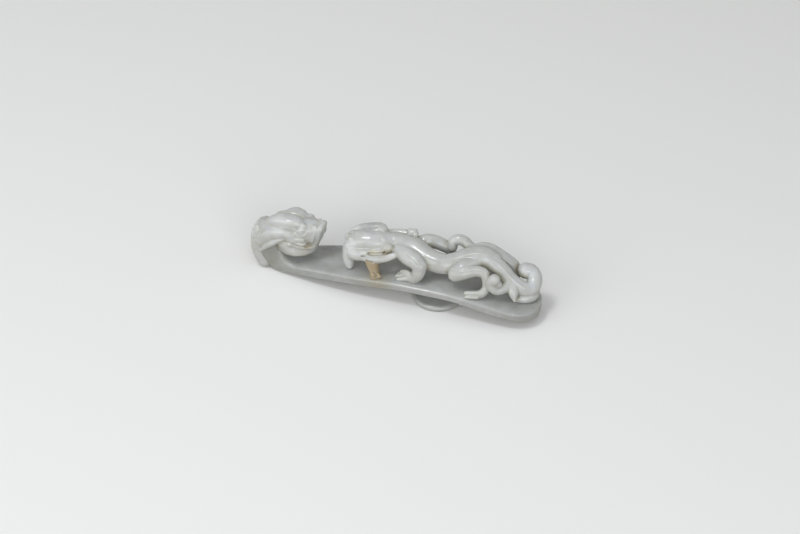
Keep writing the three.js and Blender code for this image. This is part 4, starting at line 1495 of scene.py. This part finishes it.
@dataclass
class DragonHead(CarvedForm):
    """The dragon's head that turns back over the plate as the hook.

    The near half is sculpted and mirrored. Rows are shares along, across and up the head, with the half width
    and half height as shares of its own, or with a radius in mm for the marks.

    Attributes:
        masses: The skull, the upper lip, the nose, the lower jaw, the mouth between them, the horn, and the two
            locks of hair that sweep back behind the jaw.
        muzzle: The squared muzzle, whose front slants back towards the chin: its middle, its three radii in mm
            and its own axes.
        muzzle_power: How square it is.
        muzzle_softness: How softly it joins the head, in mm.
        swellings: Rounded forms, such as the eye, the nostril, the cheek and the chin.
        folds: Raised folds of skin and strands of hair.
        lines: Engraved lines, such as the mouth's and the groove between the horns.
        hollows: The nostril's hole and the mouth's corner.
        mane: The band of hair that the head's locks run into.
        horn_drop: How much lower the left horn is carved than the right one: share along and mm.
        horn_drop_fades: The axes that the drop sets in along, and where it starts and is whole, in mm.
        block: The lowest and the highest corner of the near half's block, in mm.
    """

    pitch: float = 0.176
    mane: DragonMane = field(kw_only=True)
    block: tuple[Sequence[float], Sequence[float]] = ((-73.2, -9.2, -1.0), (-40.8, 0, 27.2))
    horn_drop_fades: Sequence[tuple[int, float, float]] = ((1, 0.2, 2.0), (2, 16.0, 19.5))
    horn_drop: Table = (
        (0.0, 1.4), (0.13, 2.1), (0.21, 2.5), (0.38, 0.9), (0.46, 0.6), (0.52, 0.7), (0.57, 0.75), (0.62, 1.1),
        (0.66, 0.9), (0.7, 0.5), (0.76, 0.6), (0.9, 0.0),
    )
    masses: Sequence[Mass] = (
        Mass(2.6, 0, (
            (0.02, 0, 0.36, 0.66, 0.23), (0.12, 0, 0.42, 0.78, 0.26), (0.25, 0, 0.52, 0.87, 0.3),
            (0.39, 0, 0.55, 0.92, 0.3), (0.57, 0, 0.54, 0.88, 0.31), (0.7, 0, 0.57, 0.76, 0.27),
        )),
        Mass(3.2, 0.9, (
            (0.6, 0, 0.49, 0.84, 0.2), (0.7, 0, 0.485, 0.7, 0.19), (0.77, 0, 0.48, 0.56, 0.18),
            (0.82, 0, 0.48, 0.42, 0.17), (0.855, 0, 0.47, 0.28, 0.15),
        )),
        Mass(2.6, 0.9, (
            (0.62, 0, 0.66, 0.6, 0.16), (0.75, 0, 0.63, 0.38, 0.14), (0.82, 0, 0.64, 0.38, 0.15),
            (0.9, 0, 0.66, 0.34, 0.15), (0.945, 0, 0.69, 0.2, 0.12),
        )),
        Mass(2.9, 0.8, (
            (0.28, 0, 0.19, 0.66, 0.16), (0.36, 0, 0.13, 0.8, 0.19), (0.45, 0, 0.1, 0.95, 0.22),
            (0.54, 0, 0.1, 0.95, 0.215), (0.6, 0, 0.11, 0.86, 0.195), (0.66, 0, 0.14, 0.73, 0.165),
            (0.71, 0, 0.17, 0.58, 0.135), (0.75, 0, 0.195, 0.44, 0.11), (0.78, 0, 0.21, 0.32, 0.09),
        )),
        Mass(3.2, 0.5, (
            (0.3, 0, 0.26, 0.72, 0.12), (0.42, 0, 0.29, 0.93, 0.1), (0.55, 0, 0.305, 0.93, 0.09),
            (0.66, 0, 0.3, 0.77, 0.09), (0.73, 0, 0.3, 0.56, 0.09),
        )),
        Mass(2.7, 0.5, (
            (0.13, -0.36, 0.61, 0.24, 0.11), (0.21, -0.38, 0.75, 0.37, 0.155), (0.38, -0.38, 0.81, 0.44, 0.16),
            (0.54, -0.38, 0.81, 0.39, 0.145), (0.64, -0.37, 0.77, 0.25, 0.09),
        )),
        Mass(2.0, 1.0, (
            (0.6, -0.82, 0.54, 0.06, 0.05), (0.45, -0.84, 0.56, 0.16, 0.1), (0.25, -0.84, 0.5, 0.2, 0.15),
            (0.08, -0.78, 0.33, 0.2, 0.16), (-0.04, -0.66, 0.13, 0.18, 0.14),
        )),
        Mass(2.0, 0.6, (
            (0.37, -0.93, 0.425, 0.07, 0.035), (0.2, -0.92, 0.26, 0.14, 0.085), (0.05, -0.82, 0.05, 0.13, 0.07),
            (-0.03, -0.75, -0.1, 0.08, 0.04),
        )),
    )
    muzzle: tuple[Sequence[float], Sequence[float], Sequence[Sequence[float]]] = (
        (0.823, 0, 0.488), (2.9, 3.4, 4.2), ((1, 0, -0.28), (0, 1, 0), (-0.15, 0, 1)),
    )
    muzzle_power: float = 5.0
    muzzle_softness: float = 0.8
    swellings: Marks = Marks(0.7, beads=(
        ((0.675, -0.52, 0.79), (1.6, 1.2, 1.35)), ((0.945, -0.26, 0.745), (1.1, 1.15, 1.1)),
        ((0.56, -0.84, 0.44), (4.2, 1.0, 1.3)), ((0.665, -0.76, 0.68), (0.95, 0.75, 0.85)),
        ((0.8, -0.42, 0.19), (1.2, 1.3, 0.8)), ((0.485, -0.94, 0.33), (0.8, 0.5, 0.45)),
        ((0.69, -0.85, 0.4), (1.4, 0.75, 0.5)), ((0.77, -0.5, 0.715), (0.6, 0.6, 0.6)),
        ((0.4, -0.78, 0.25), (3.2, 1.2, 2.0)),
    ))
    folds: Marks = Marks(0.9, threads=(
        (
            (0.59, -0.8, 0.68, 0.25), (0.64, -0.79, 0.755, 0.4), (0.7, -0.71, 0.765, 0.4),
            (0.74, -0.63, 0.72, 0.25),
        ),
        (
            (0.59, -0.85, 0.64, 0.25), (0.65, -0.84, 0.59, 0.35), (0.71, -0.77, 0.605, 0.35),
            (0.75, -0.69, 0.66, 0.25),
        ),
        (
            (0.87, -0.34, 0.82, 0.4), (0.868, -0.42, 0.74, 0.45), (0.86, -0.5, 0.64, 0.45),
            (0.845, -0.56, 0.52, 0.5), (0.835, -0.58, 0.42, 0.4),
        ),
        ((0.9, -0.4, 0.72, 0.2), (0.915, -0.36, 0.65, 0.3), (0.92, -0.34, 0.6, 0.2)),
        ((0.88, -0.47, 0.64, 0.2), (0.9, -0.42, 0.57, 0.3), (0.905, -0.38, 0.51, 0.2)),
        ((0.6, -0.92, 0.5, 0.2), (0.66, -0.9, 0.515, 0.35), (0.72, -0.82, 0.51, 0.2)),
        ((0.62, -0.93, 0.405, 0.25), (0.69, -0.9, 0.4, 0.45), (0.74, -0.8, 0.395, 0.3)),
        ((0.89, -0.28, 0.71, 0.12), (0.93, -0.2, 0.775, 0.4), (0.965, -0.1, 0.81, 0.5), (0.97, 0, 0.81, 0.5)),
        (
            (0.6, -0.88, 0.25, 0.1), (0.68, -0.8, 0.245, 0.3), (0.77, -0.64, 0.235, 0.45),
            (0.83, -0.42, 0.23, 0.5), (0.855, 0, 0.22, 0.45),
        ),
        ((0.3, -0.68, 0.795, 0.2), (0.42, -0.73, 0.815, 0.35), (0.54, -0.69, 0.8, 0.2)),
        ((0.32, -0.78, 0.73, 0.2), (0.45, -0.81, 0.755, 0.35), (0.56, -0.77, 0.75, 0.2)),
        ((0.38, -0.95, 0.44, 0.25), (0.28, -1.0, 0.37, 0.4), (0.18, -1.0, 0.27, 0.4), (0.05, -0.88, 0.07, 0.3)),
    ))
    lines: Marks = Marks(0.2, cut=True, threads=(
        (
            (0.6, -0.93, 0.32, 0.1), (0.67, -0.86, 0.325, 0.2), (0.73, -0.74, 0.32, 0.3),
            (0.8, -0.57, 0.305, 0.45), (0.87, -0.5, 0.295, 0.42), (0.925, -0.3, 0.285, 0.35),
            (0.935, 0, 0.285, 0.3),
        ),
        ((0.37, -0.97, 0.36, 0.15), (0.22, -1.02, 0.17, 0.4), (0.1, -0.95, 0.0, 0.35)),
        ((0.61, -1.0, 0.445, 0.15), (0.68, -0.97, 0.45, 0.3), (0.75, -0.86, 0.44, 0.2)),
        ((0.44, -1.04, 0.375, 0.15), (0.49, -1.03, 0.385, 0.25), (0.54, -1.0, 0.375, 0.15)),
        ((0.12, 0, 0.8, 0.25), (0.3, 0, 0.95, 0.5), (0.5, 0, 0.96, 0.5), (0.66, 0, 0.88, 0.3)),
        ((0.785, -0.66, 0.76, 0.2), (0.79, -0.72, 0.68, 0.3), (0.8, -0.74, 0.6, 0.2)),
        ((0.825, -0.6, 0.77, 0.18), (0.83, -0.66, 0.7, 0.26), (0.835, -0.69, 0.62, 0.18)),
    ))
    hollows: Marks = Marks(0.35, cut=True, beads=(
        ((0.995, -0.27, 0.72), (0.4, 0.4, 0.4)), ((0.785, -0.74, 0.3), (1.5, 0.7, 0.7)),
    ))

    def build(self) -> list[bpy.types.Object]:
        """Sculpts the head.

        Returns:
            Its one piece.
        """
        (low_x, low_y, low_z), high = self.block
        layers = math.ceil(-low_y / self.pitch)  # so that the last one lies on the middle plane
        stone = Stone((low_x, -layers * self.pitch, low_z), high, self.pitch)
        for mass in self.masses:
            stone.add(Strand(self.sizes.in_head(mass.rows), power=mass.power), mass.softness)
        share, radii, turn = self.muzzle
        muzzle = Bead(self.place(share), radii, np.array(turn), power=self.muzzle_power)
        stone.add(muzzle, self.muzzle_softness)
        for marks in (self.swellings, self.folds, self.lines, self.hollows):
            self.mark(stone, marks)
        self.mane.carve(stone)
        nodes = ["dragon_skull", "dragon_lower_jaw", "dragon_mane"]
        nodes += [f"dragon_{side}_{part}" for part in ("horn", "ear") for side in ("right", "left")]
        piece = self.skin("carved_dragon_head", stone.mirrored(), nodes)
        self._lower_left_horn(piece.data)
        return [piece]

    def _lower_left_horn(self, mesh: bpy.types.Mesh) -> None:
        """Lets the left horn rise later from the skull than the right one does, as it is carved.

        Args:
            mesh: The head's mesh.
        """
        places = np.empty(3 * len(mesh.vertices), np.float32)
        mesh.vertices.foreach_get("co", places)
        places = places.reshape(-1, 3)
        along = (places[:, 0] / MM - self.sizes.head_back) / self.sizes.head_length
        drop = ShareCurve(*np.array(self.horn_drop).T)(along)
        for axis, first, last in self.horn_drop_fades:
            drop *= eased_fall(1 - (places[:, axis] / MM - first) / (last - first))
        places[:, 2] -= drop * MM
        mesh.vertices.foreach_set("co", places.ravel())
        mesh.update()

    def place(self, share: Sequence[float]) -> np.ndarray:
        """Returns the place of a share of the head."""
        return self.sizes.in_head([(*share, 0, 0)])[0, :3]


@dataclass(frozen=True)
class Limb:
    """A part of the young dragon's body.

    Attributes:
        name: Its name.
        girth: The size that its half widths are shares of.
        softness: How softly it joins the others, in mm.
        rows: A station, a share across, a rise, and the half width, with the half height where it differs.
    """

    name: str
    girth: Girth
    softness: float
    rows: Table


@dataclass
class YoungDragon(CarvedForm):
    """The chilong that lies along the plate, cut free of it all round.

    Rows are a station, a share across, a rise as a share of the relief's height, and the half width (and the
    half height where it differs) as a share of the limb's girth.

    Attributes:
        limbs: The body's parts.
        grooves: Lines cut along a part: its name, the angle round its section in degrees, the radius in mm,
            where the line starts and ends, and how far its middle lies above the skin.
        groove_softness: How round their edges are, in mm.
        ridges: Raised lines, in the same way.
        ridge_softness: How softly they run into the body, in mm.
        knobs: Small rounded forms, such as the ear's lobe, the curls of the mane and the knot in the tail.
        toes: The toes of the two near feet.
        cuts: Engraved lines, such as the mouth's and the brow's.
        hollows: The mouth's corner and the hollow in the mane's curl.
        block: The lowest and the highest corner of the block, in mm.
    """

    pitch: float = 0.235
    block: tuple[Sequence[float], Sequence[float]] = ((-37.6, -11.6, 5), (39.4, 12.2, 25.2))
    limbs: Sequence[Limb] = (
        Limb("torso", Girth.TORSO, 0.5, (
            (-0.34, 0.26, 0.6, 0.72), (-0.26, 0.27, 0.56, 0.86), (-0.17, 0.15, 0.52, 0.98),
            (-0.095, -0.02, 0.46, 0.94), (-0.02, -0.15, 0.44, 0.86), (0.085, -0.15, 0.43, 0.82),
            (0.19, 0.05, 0.46, 0.86), (0.29, 0.24, 0.55, 0.94), (0.4, 0.32, 0.63, 0.94), (0.5, 0.3, 0.65, 0.74),
        )),
        Limb("head", Girth.TORSO, 0.6, (
            (-0.345, 0.16, 0.58, 0.84, 0.82), (-0.425, 0.05, 0.62, 0.88, 0.86), (-0.495, 0, 0.61, 0.92, 0.92),
            (-0.545, -0.08, 0.54, 0.88, 0.86), (-0.565, -0.22, 0.4, 0.68, 0.66),
            (-0.568, -0.36, 0.24, 0.5, 0.5), (-0.56, -0.44, 0.1, 0.38, 0.32),
        )),
        Limb("gum", Girth.TORSO, 0.8, (
            (-0.555, -0.34, 0.42, 0.5), (-0.51, -0.42, 0.44, 0.54), (-0.455, -0.42, 0.46, 0.48),
            (-0.4, -0.32, 0.47, 0.42), (-0.35, -0.28, 0.5, 0.4),
        )),
        Limb("crest", Girth.CREST, 0.9, (
            (-0.6, 0.16, 0.58, 0.8), (-0.575, 0.26, 0.69, 1.0), (-0.53, 0.33, 0.775, 1.1),
            (-0.477, 0.38, 0.81, 1.2), (-0.414, 0.42, 0.83, 1.25), (-0.398, 0.43, 0.82, 1.15),
        )),
        Limb("mane", Girth.CREST, 0.4, (
            (-0.37, 0.5, 0.72, 0.55), (-0.31, 0.55, 0.74, 0.6), (-0.25, 0.58, 0.74, 0.66),
            (-0.205, 0.58, 0.68, 0.95),
        )),
        Limb("lip", Girth.JAW, 0.4, (
            (-0.545, -0.4, 0.46, 0.85), (-0.484, -0.5, 0.43, 0.95), (-0.427, -0.56, 0.42, 1),
            (-0.366, -0.6, 0.45, 1), (-0.309, -0.56, 0.5, 0.95), (-0.262, -0.45, 0.56, 0.85),
        )),
        Limb("left_arm", Girth.LIMB, 0.6, (
            (-0.24, -0.12, 0.53, 0.95), (-0.18, -0.33, 0.54, 1.06), (-0.122, -0.5, 0.53, 1),
            (-0.085, -0.6, 0.47, 0.88),
        )),
        Limb("left_forearm", Girth.LIMB, 0.3, (
            (-0.088, -0.6, 0.47, 0.86), (-0.09, -0.65, 0.32, 0.82), (-0.102, -0.66, 0.18, 0.7),
            (-0.13, -0.63, 0.09, 0.8, 0.56), (-0.165, -0.57, 0.07, 0.9, 0.46), (-0.19, -0.52, 0.05, 0.8, 0.34),
        )),
        Limb("right_foreleg", Girth.LIMB, 0.4, (
            (-0.16, 0.5, 0.54, 0.8), (-0.113, 0.62, 0.59, 0.86), (-0.069, 0.75, 0.535, 0.84),
            (-0.018, 0.8, 0.46, 0.78), (0.035, 0.81, 0.38, 0.7), (0.06, 0.83, 0.22, 0.58),
            (0.04, 0.84, 0.07, 0.6, 0.42),
        )),
        Limb("left_thigh", Girth.LIMB, 0.6, (
            (0.34, -0.08, 0.55, 1), (0.27, -0.3, 0.53, 1), (0.21, -0.48, 0.42, 0.88),
        )),
        Limb("left_shank", Girth.LIMB, 0.3, (
            (0.205, -0.5, 0.38, 0.84), (0.3, -0.45, 0.47, 0.74), (0.4, -0.39, 0.59, 0.68),
            (0.475, -0.4, 0.6, 0.62), (0.508, -0.47, 0.46, 0.54), (0.515, -0.56, 0.29, 0.52),
            (0.484, -0.66, 0.14, 0.66, 0.5), (0.42, -0.72, 0.08, 0.72, 0.42), (0.36, -0.75, 0.06, 0.6, 0.34),
        )),
        Limb("right_hindleg", Girth.LIMB, 0.35, (
            (0.075, 0.72, 0.5, 0.6), (0.075, 0.79, 0.63, 0.62), (0.124, 0.85, 0.69, 0.66),
            (0.183, 0.85, 0.67, 0.66), (0.24, 0.76, 0.62, 0.64), (0.303, 0.64, 0.63, 0.72),
            (0.365, 0.69, 0.7, 0.76), (0.435, 0.79, 0.67, 0.8), (0.511, 0.84, 0.57, 0.82),
            (0.599, 0.86, 0.47, 0.8), (0.672, 0.84, 0.38, 0.76), (0.7, 0.8, 0.2, 0.62),
            (0.66, 0.76, 0.07, 0.6, 0.42),
        )),
        Limb("tail", Girth.TAIL, 0.3, (
            (0.482, 0.26, 0.63, 1.08), (0.55, 0.19, 0.61, 1.05), (0.62, 0.1, 0.54, 1.02), (0.69, 0.03, 0.43, 1),
            (0.76, 0.01, 0.33, 1.02), (0.82, 0.03, 0.27, 1.02), (0.872, 0.13, 0.25, 1),
            (0.905, 0.33, 0.32, 0.98), (0.895, 0.54, 0.43, 0.95), (0.85, 0.66, 0.5, 0.95),
            (0.803, 0.62, 0.5, 1.02),
        )),
        Limb("branch", Girth.TAIL, 0.3, (
            (0.729, 0, 0.42, 0.72), (0.7, -0.21, 0.36, 0.68), (0.657, -0.385, 0.31, 0.64),
            (0.612, -0.5, 0.29, 0.63), (0.57, -0.56, 0.37, 0.63), (0.556, -0.54, 0.49, 0.66),
            (0.585, -0.5, 0.57, 0.74),
        )),
        Limb("spur", Girth.TAIL, 0.3, (
            (0.735, -0.14, 0.36, 0.8), (0.76, -0.32, 0.27, 0.62), (0.79, -0.52, 0.15, 0.14),
        )),
        Limb("tail_rest", Girth.TAIL, 0.25, (
            (0.8, -0.24, 0.08, 0.42), (0.86, -0.12, 0.1, 0.6), (0.915, 0.1, 0.11, 0.68),
            (0.925, 0.34, 0.14, 0.6),
        )),
    )
    grooves: Sequence[tuple[str, float, float, float, float, float]] = (
        ("left_arm", 132, 0.45, 0.3, 1.0, 0.25), ("left_shank", 140, 0.4, 0.06, 0.45, 0.2),
        ("lip", 125, 0.35, 0.1, 0.9, 0.2), ("crest", 120, 0.35, 0.1, 0.92, 0.05),
        ("crest", 150, 0.2, 0.15, 0.95, 0.08),
    )
    groove_softness: float = 0.25
    ridge_softness: float = 0.5
    ridges: Sequence[tuple[str, float, float, float, float, float]] = (
        ("torso", 118, 0.45, 0.62, 0.97, -0.2), ("tail", 118, 0.4, 0.0, 0.55, -0.15),
        ("right_hindleg", 110, 0.35, 0.45, 0.85, -0.12),
    )
    knobs: Marks = Marks(0.4, beads=(
        ((-0.325, -0.15, 0.57), (2.5, 1.9, 2.4)), ((-0.488, -0.5, 0.43), (2.2, 0.95, 0.85)),
        ((-0.353, -0.04, 0.775), (0.8, 0.8, 0.75)), ((-0.598, -0.144, 0.49), (0.6, 0.6, 0.6)),
        ((-0.578, -0.26, 0.4), (0.55, 0.6, 0.6)), ((-0.581, 0.02, 0.62), (0.7, 0.7, 0.7)),
        ((-0.557, -0.225, 0.762), (1.3, 0.75, 0.8)), ((-0.578, -0.35, 0.608), (0.9, 0.75, 0.9)),
        ((-0.554, -0.43, 0.556), (1.0, 0.7, 0.65)), ((-0.552, -0.505, 0.498), (0.9, 0.7, 0.65)),
        ((-0.592, -0.035, 0.722), (1.0, 0.8, 0.8)), ((-0.562, 0.095, 0.798), (1.3, 0.8, 0.7)),
        ((-0.427, 0.335, 0.953), (1.6, 0.8, 0.7)), ((-0.467, -0.585, 0.503), (2.3, 0.8, 0.85)),
        ((-0.418, 0.15, 0.845), (2.0, 0.8, 0.7)), ((-0.2, 0.58, 0.74), (2.0, 1.7, 2.0)),
        ((-0.22, 0.58, 0.83), (0.95, 0.95, 0.8)), ((-0.19, 0.62, 0.83), (0.95, 0.95, 0.8)),
        ((-0.178, 0.5, 0.77), (0.9, 0.9, 0.9)), ((-0.216, 0.46, 0.77), (0.9, 0.9, 0.9)),
        ((0.62, -0.47, 0.46), (1.5, 1.3, 1.5)),
    ))
    toes: Marks = Marks(0.35, threads=(
        ((-0.15, -0.42, 0.06, 0.8), (-0.19, -0.34, 0.055, 0.85), (-0.222, -0.29, 0.02, 0.6)),
        ((-0.15, -0.52, 0.07, 0.9), (-0.2, -0.46, 0.06, 0.9), (-0.235, -0.43, 0.02, 0.65)),
        ((-0.15, -0.6, 0.07, 0.9), (-0.2, -0.59, 0.06, 0.9), (-0.237, -0.58, 0.02, 0.65)),
        ((-0.14, -0.68, 0.06, 0.8), (-0.19, -0.71, 0.05, 0.8), (-0.222, -0.72, 0.015, 0.6)),
        ((0.44, -0.62, 0.08, 0.8), (0.39, -0.63, 0.065, 0.8), (0.35, -0.62, 0.02, 0.55)),
        ((0.43, -0.74, 0.08, 0.85), (0.37, -0.75, 0.065, 0.8), (0.325, -0.74, 0.02, 0.55)),
        ((0.45, -0.83, 0.08, 0.75), (0.39, -0.87, 0.055, 0.75), (0.345, -0.89, 0.02, 0.5)),
    ))
    cuts: Marks = Marks(0.3, cut=True, threads=(
        (
            (-0.44, -0.48, 0.53, 0.3), (-0.405, -0.5, 0.545, 0.65), (-0.37, -0.47, 0.555, 0.7),
            (-0.335, -0.4, 0.56, 0.4),
        ),
        ((-0.23, 0.4, 0.74, 0.2), (-0.2, 0.45, 0.74, 0.3), (-0.19, 0.4, 0.7, 0.25)),
        (
            (-0.372, -0.3, 0.7, 0.15), (-0.34, -0.35, 0.725, 0.28), (-0.305, -0.36, 0.69, 0.3),
            (-0.295, -0.39, 0.61, 0.25), (-0.32, -0.4, 0.575, 0.15),
        ),
    ))
    hollows: Marks = Marks(0.2, cut=True, beads=(
        ((-0.335, -0.36, 0.552), (0.5, 1.4, 0.5)), ((-0.197, 0.44, 0.68), (0.45, 0.9, 0.45)),
    ))

    def build(self) -> list[bpy.types.Object]:
        """Sculpts the young dragon.

        Returns:
            Its one piece.
        """
        stone = Stone(*self.block, self.pitch)
        strands = {}
        for limb in self.limbs:
            strand = Strand(self.sizes.on_plate(limb.rows, getattr(self.sizes, limb.girth.value)))
            stone.add(strand, limb.softness)
            strands[limb.name] = strand
        self.mark(stone, self.knobs)
        self.mark(stone, self.toes)
        for name, *line in self.ridges:
            stone.add(strands[name].line(*line), self.ridge_softness)
        for name, *line in self.grooves:
            stone.cut(strands[name].line(*line), self.groove_softness)
        self.mark(stone, self.cuts)
        self.mark(stone, self.hollows)
        self._rest_on_plate(stone)
        parts = ["torso", "head", "crest", "mane", "lower_lip", "tail", "tail_branch", "tail_spur", "tail_rest"]
        parts += [f"{side}_{leg}" for leg in ("foreleg", "hindleg") for side in ("left", "right")]
        return [self.skin("carved_chilong", stone, [f"chilong_{part}" for part in parts])]

    def _rest_on_plate(self, stone: Stone) -> None:
        """Cuts off what would reach into the plate.

        Args:
            stone: The young dragon's stone.
        """
        xs, _, heights = stone.axes(tuple(slice(0, n) for n in stone.depth.shape))
        station = xs / np.where(xs < 0, self.sizes.hook_reach, self.sizes.tail_reach)
        top = self.sizes.plate_top(station.ravel()).astype(np.float32)[:, None, None]
        np.maximum(stone.depth, top - SUNK - heights, out=stone.depth)


@dataclass
class LingzhiSprig(CarvedForm):
    """The little post under the chilong's lip, cut as a sprig of lingzhi in a russet part of the stone.

    Attributes:
        rows: The post, from the plate up.
        curls: Its two curls.
        foot_station: The station of its foot.
        block: The lowest and the highest corner of the block, in mm.
    """

    pitch: float = 0.14
    foot_station: float = -0.38
    block: tuple[Sequence[float], Sequence[float]] = ((-27.5, -11, 7), (-16, -1.5, 16))
    rows: Table = (
        (-0.4, -0.52, 0.36, 1.3), (-0.392, -0.6, 0.26, 1.05), (-0.378, -0.69, 0.12, 0.86),
        (-0.373, -0.72, 0.02, 0.9),
    )
    curls: Marks = Marks(0.35, threads=(
        (
            (-0.36, -0.86, 0.06, 0.3), (-0.37, -0.92, 0.13, 0.5), (-0.38, -0.88, 0.17, 0.5),
            (-0.385, -0.84, 0.13, 0.3),
        ),
        ((-0.35, -0.8, 0.02, 0.5), (-0.335, -0.82, 0.06, 0.6), (-0.345, -0.8, 0.11, 0.4)),
    ))

    def build(self) -> list[bpy.types.Object]:
        """Sculpts the sprig.

        Returns:
            Its one piece.
        """
        stone = Stone(*self.block, self.pitch)
        stone.add(Strand(self.sizes.on_plate(self.rows, self.sizes.sprig_girth)), 0)
        self.mark(stone, self.curls)
        stone.clip_below(float(self.sizes.plate_top(self.foot_station)) - SUNK)
        return [self.skin("carved_lingzhi_sprig", stone, ["lingzhi_sprig"], slot=JadeSlot.RUSSET)]


# The studio


@dataclass(frozen=True)
class Panel:
    """A soft panel of light, which faces the hook.

    Attributes:
        name: Its name.
        spot: Where it hangs, in metres.
        size: Its width and height, in metres.
        power: Its power, in watts.
    """

    name: str
    spot: tuple[float, float, float]
    size: tuple[float, float]
    power: float


@dataclass
class Studio:
    """A pale table and backdrop, soft panels of light, and the camera.

    Attributes:
        turn: How far round the camera stands from square on, in degrees.
        tilt: How far it looks down, in degrees.
        distance: How far it stands from what it looks at, in mm.
        lens: Its focal length in mm.
        sensor: Its sensor's width in mm.
        middle_pixel: The picture's middle.
        button_pixel: Where the picture shows the middle of the button's face.
        pixels_per_mm: The picture's scale there.
        cloth: The floor's front edge, where its curve starts, the curve's radius, the back wall's top and half
            the width, in metres.
        cloth_sides: How many points its curve has.
        finish: The floor's finish.
        panels: The panels of light.
        surround: The surround's colour.
        surround_strength: How bright it is.
    """

    turn: float = 19.0
    tilt: float = 38.0
    distance: float = 686.9
    lens: float = 85.0
    sensor: float = 36.0
    middle_pixel: tuple[float, float] = (400.0, 267.0)
    button_pixel: tuple[float, float] = (438.0, 296.4)
    pixels_per_mm: float = 2.75
    cloth: tuple[float, float, float, float, float] = (-0.9, 0.35, 0.35, 1.3, 1.4)
    cloth_sides: int = 24
    finish: MattCloth = MattCloth()
    panels: Sequence[Panel] = (
        Panel("top_panel", (-0.26, -0.27, 0.9), (0.2, 0.2), 2.0),
        Panel("left_panel", (-0.55, -0.85, 0.45), (0.8, 0.6), 2.9),
        Panel("right_panel", (0.5, -0.9, 0.45), (0.8, 0.6), 3.8),
    )
    surround: str = "#E2E6EB"
    surround_strength: float = 0.74

    def axes(self) -> tuple[np.ndarray, np.ndarray, np.ndarray]:
        """Finds the camera's directions.

        Returns:
            Its right, up and back.
        """
        az, el = math.radians(self.turn), math.radians(self.tilt)
        right = np.array([math.cos(az), math.sin(az), 0])
        back = np.array([math.sin(az) * math.cos(el), -math.cos(az) * math.cos(el), math.sin(el)])
        return right, np.cross(back, right), back

    def build(self) -> None:
        """Sets up the floor, the light and the camera."""
        self._place_camera()
        self._lay_floor()
        self._light()

    def _place_camera(self) -> None:
        """Puts the camera where the photograph's stood."""
        right, up, back = self.axes()
        shift = [there - here for there, here in zip(self.button_pixel, self.middle_pixel)]
        target = -right * shift[0] / self.pixels_per_mm + up * shift[1] / self.pixels_per_mm
        data = bpy.data.cameras.new("camera")
        data.lens, data.sensor_width = self.lens, self.sensor
        data.clip_start, data.clip_end = 0.01, 20  # in metres
        camera = bpy.data.objects.new("camera", data)
        spot = (target + back * self.distance) * MM
        columns = np.column_stack([right, up, back])
        camera.matrix_world = Matrix.Translation(Vector(spot)) @ Matrix(columns.tolist()).to_4x4()
        bpy.context.scene.collection.objects.link(camera)
        bpy.context.scene.camera = camera

    def _lay_floor(self) -> None:
        """Lays a pale cloth under the hook, which curves up behind it."""
        front, back, radius, top, half_width = self.cloth
        rows = [(front, 0.0), (back, 0.0)]
        for angle in np.linspace(0, np.pi / 2, self.cloth_sides)[1:]:
            rows.append((back + radius * math.sin(angle), radius * (1 - math.cos(angle))))
        rows.append((back + radius, top))
        xs = (-half_width, half_width)
        vertices = np.array([(x, y, z) for y, z in rows for x in xs]) / MM
        quads = np.array([(2 * i, 2 * i + 1, 2 * i + 3, 2 * i + 2) for i in range(len(rows) - 1)])
        floor = make_piece("backdrop", vertices, [quads], self.finish.material())

    def _light(self) -> None:
        """Hangs the soft panels and sets the pale surround."""
        for panel in self.panels:
            data = bpy.data.lights.new(panel.name, "AREA")
            data.shape, data.size, data.size_y = "RECTANGLE", *panel.size
            data.energy = panel.power
            lamp = bpy.data.objects.new(panel.name, data)
            lamp.location = panel.spot
            lamp.rotation_euler = (-Vector(panel.spot)).to_track_quat("-Z", "Y").to_euler()
            bpy.context.scene.collection.objects.link(lamp)
        world = bpy.data.worlds.new("surround")
        world.use_nodes = True
        background = world.node_tree.nodes["Background"]
        background.inputs["Color"].default_value = linear(self.surround)
        background.inputs["Strength"].default_value = self.surround_strength
        bpy.context.scene.world = world


def main() -> None:
    """Builds the hook, its finishes and the studio."""
    logging.basicConfig(level=logging.INFO, format="%(message)s")
    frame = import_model()
    LOG.info("frame with %d nodes", len(frame["nodes"]))
    bpy.context.scene.view_settings.view_transform = "Standard"
    coarser = 1.0
    sizes = HookSizes()
    white, shaded_white, russet = (stone.material() for stone in (WHITE_NEPHRITE, SHADED_NEPHRITE, RUSSET_NEPHRITE))
    # the shank and the button take the copy of the white stone in painted shade
    shank = HookShank(sizes, shaded_white)
    carvings = [
        DragonHead(sizes, white, mane=DragonMane(shank)),
        YoungDragon(sizes, white),
        LingzhiSprig(sizes, russet),
    ]
    for carving in carvings:
        carving.pitch *= coarser
    for part in (shank, Button(sizes, shaded_white), *carvings):
        for piece in part.build():
            LOG.info("%s: %d faces", piece.name, len(piece.data.polygons))
    Studio().build()


if __name__ == "__main__":
    main()
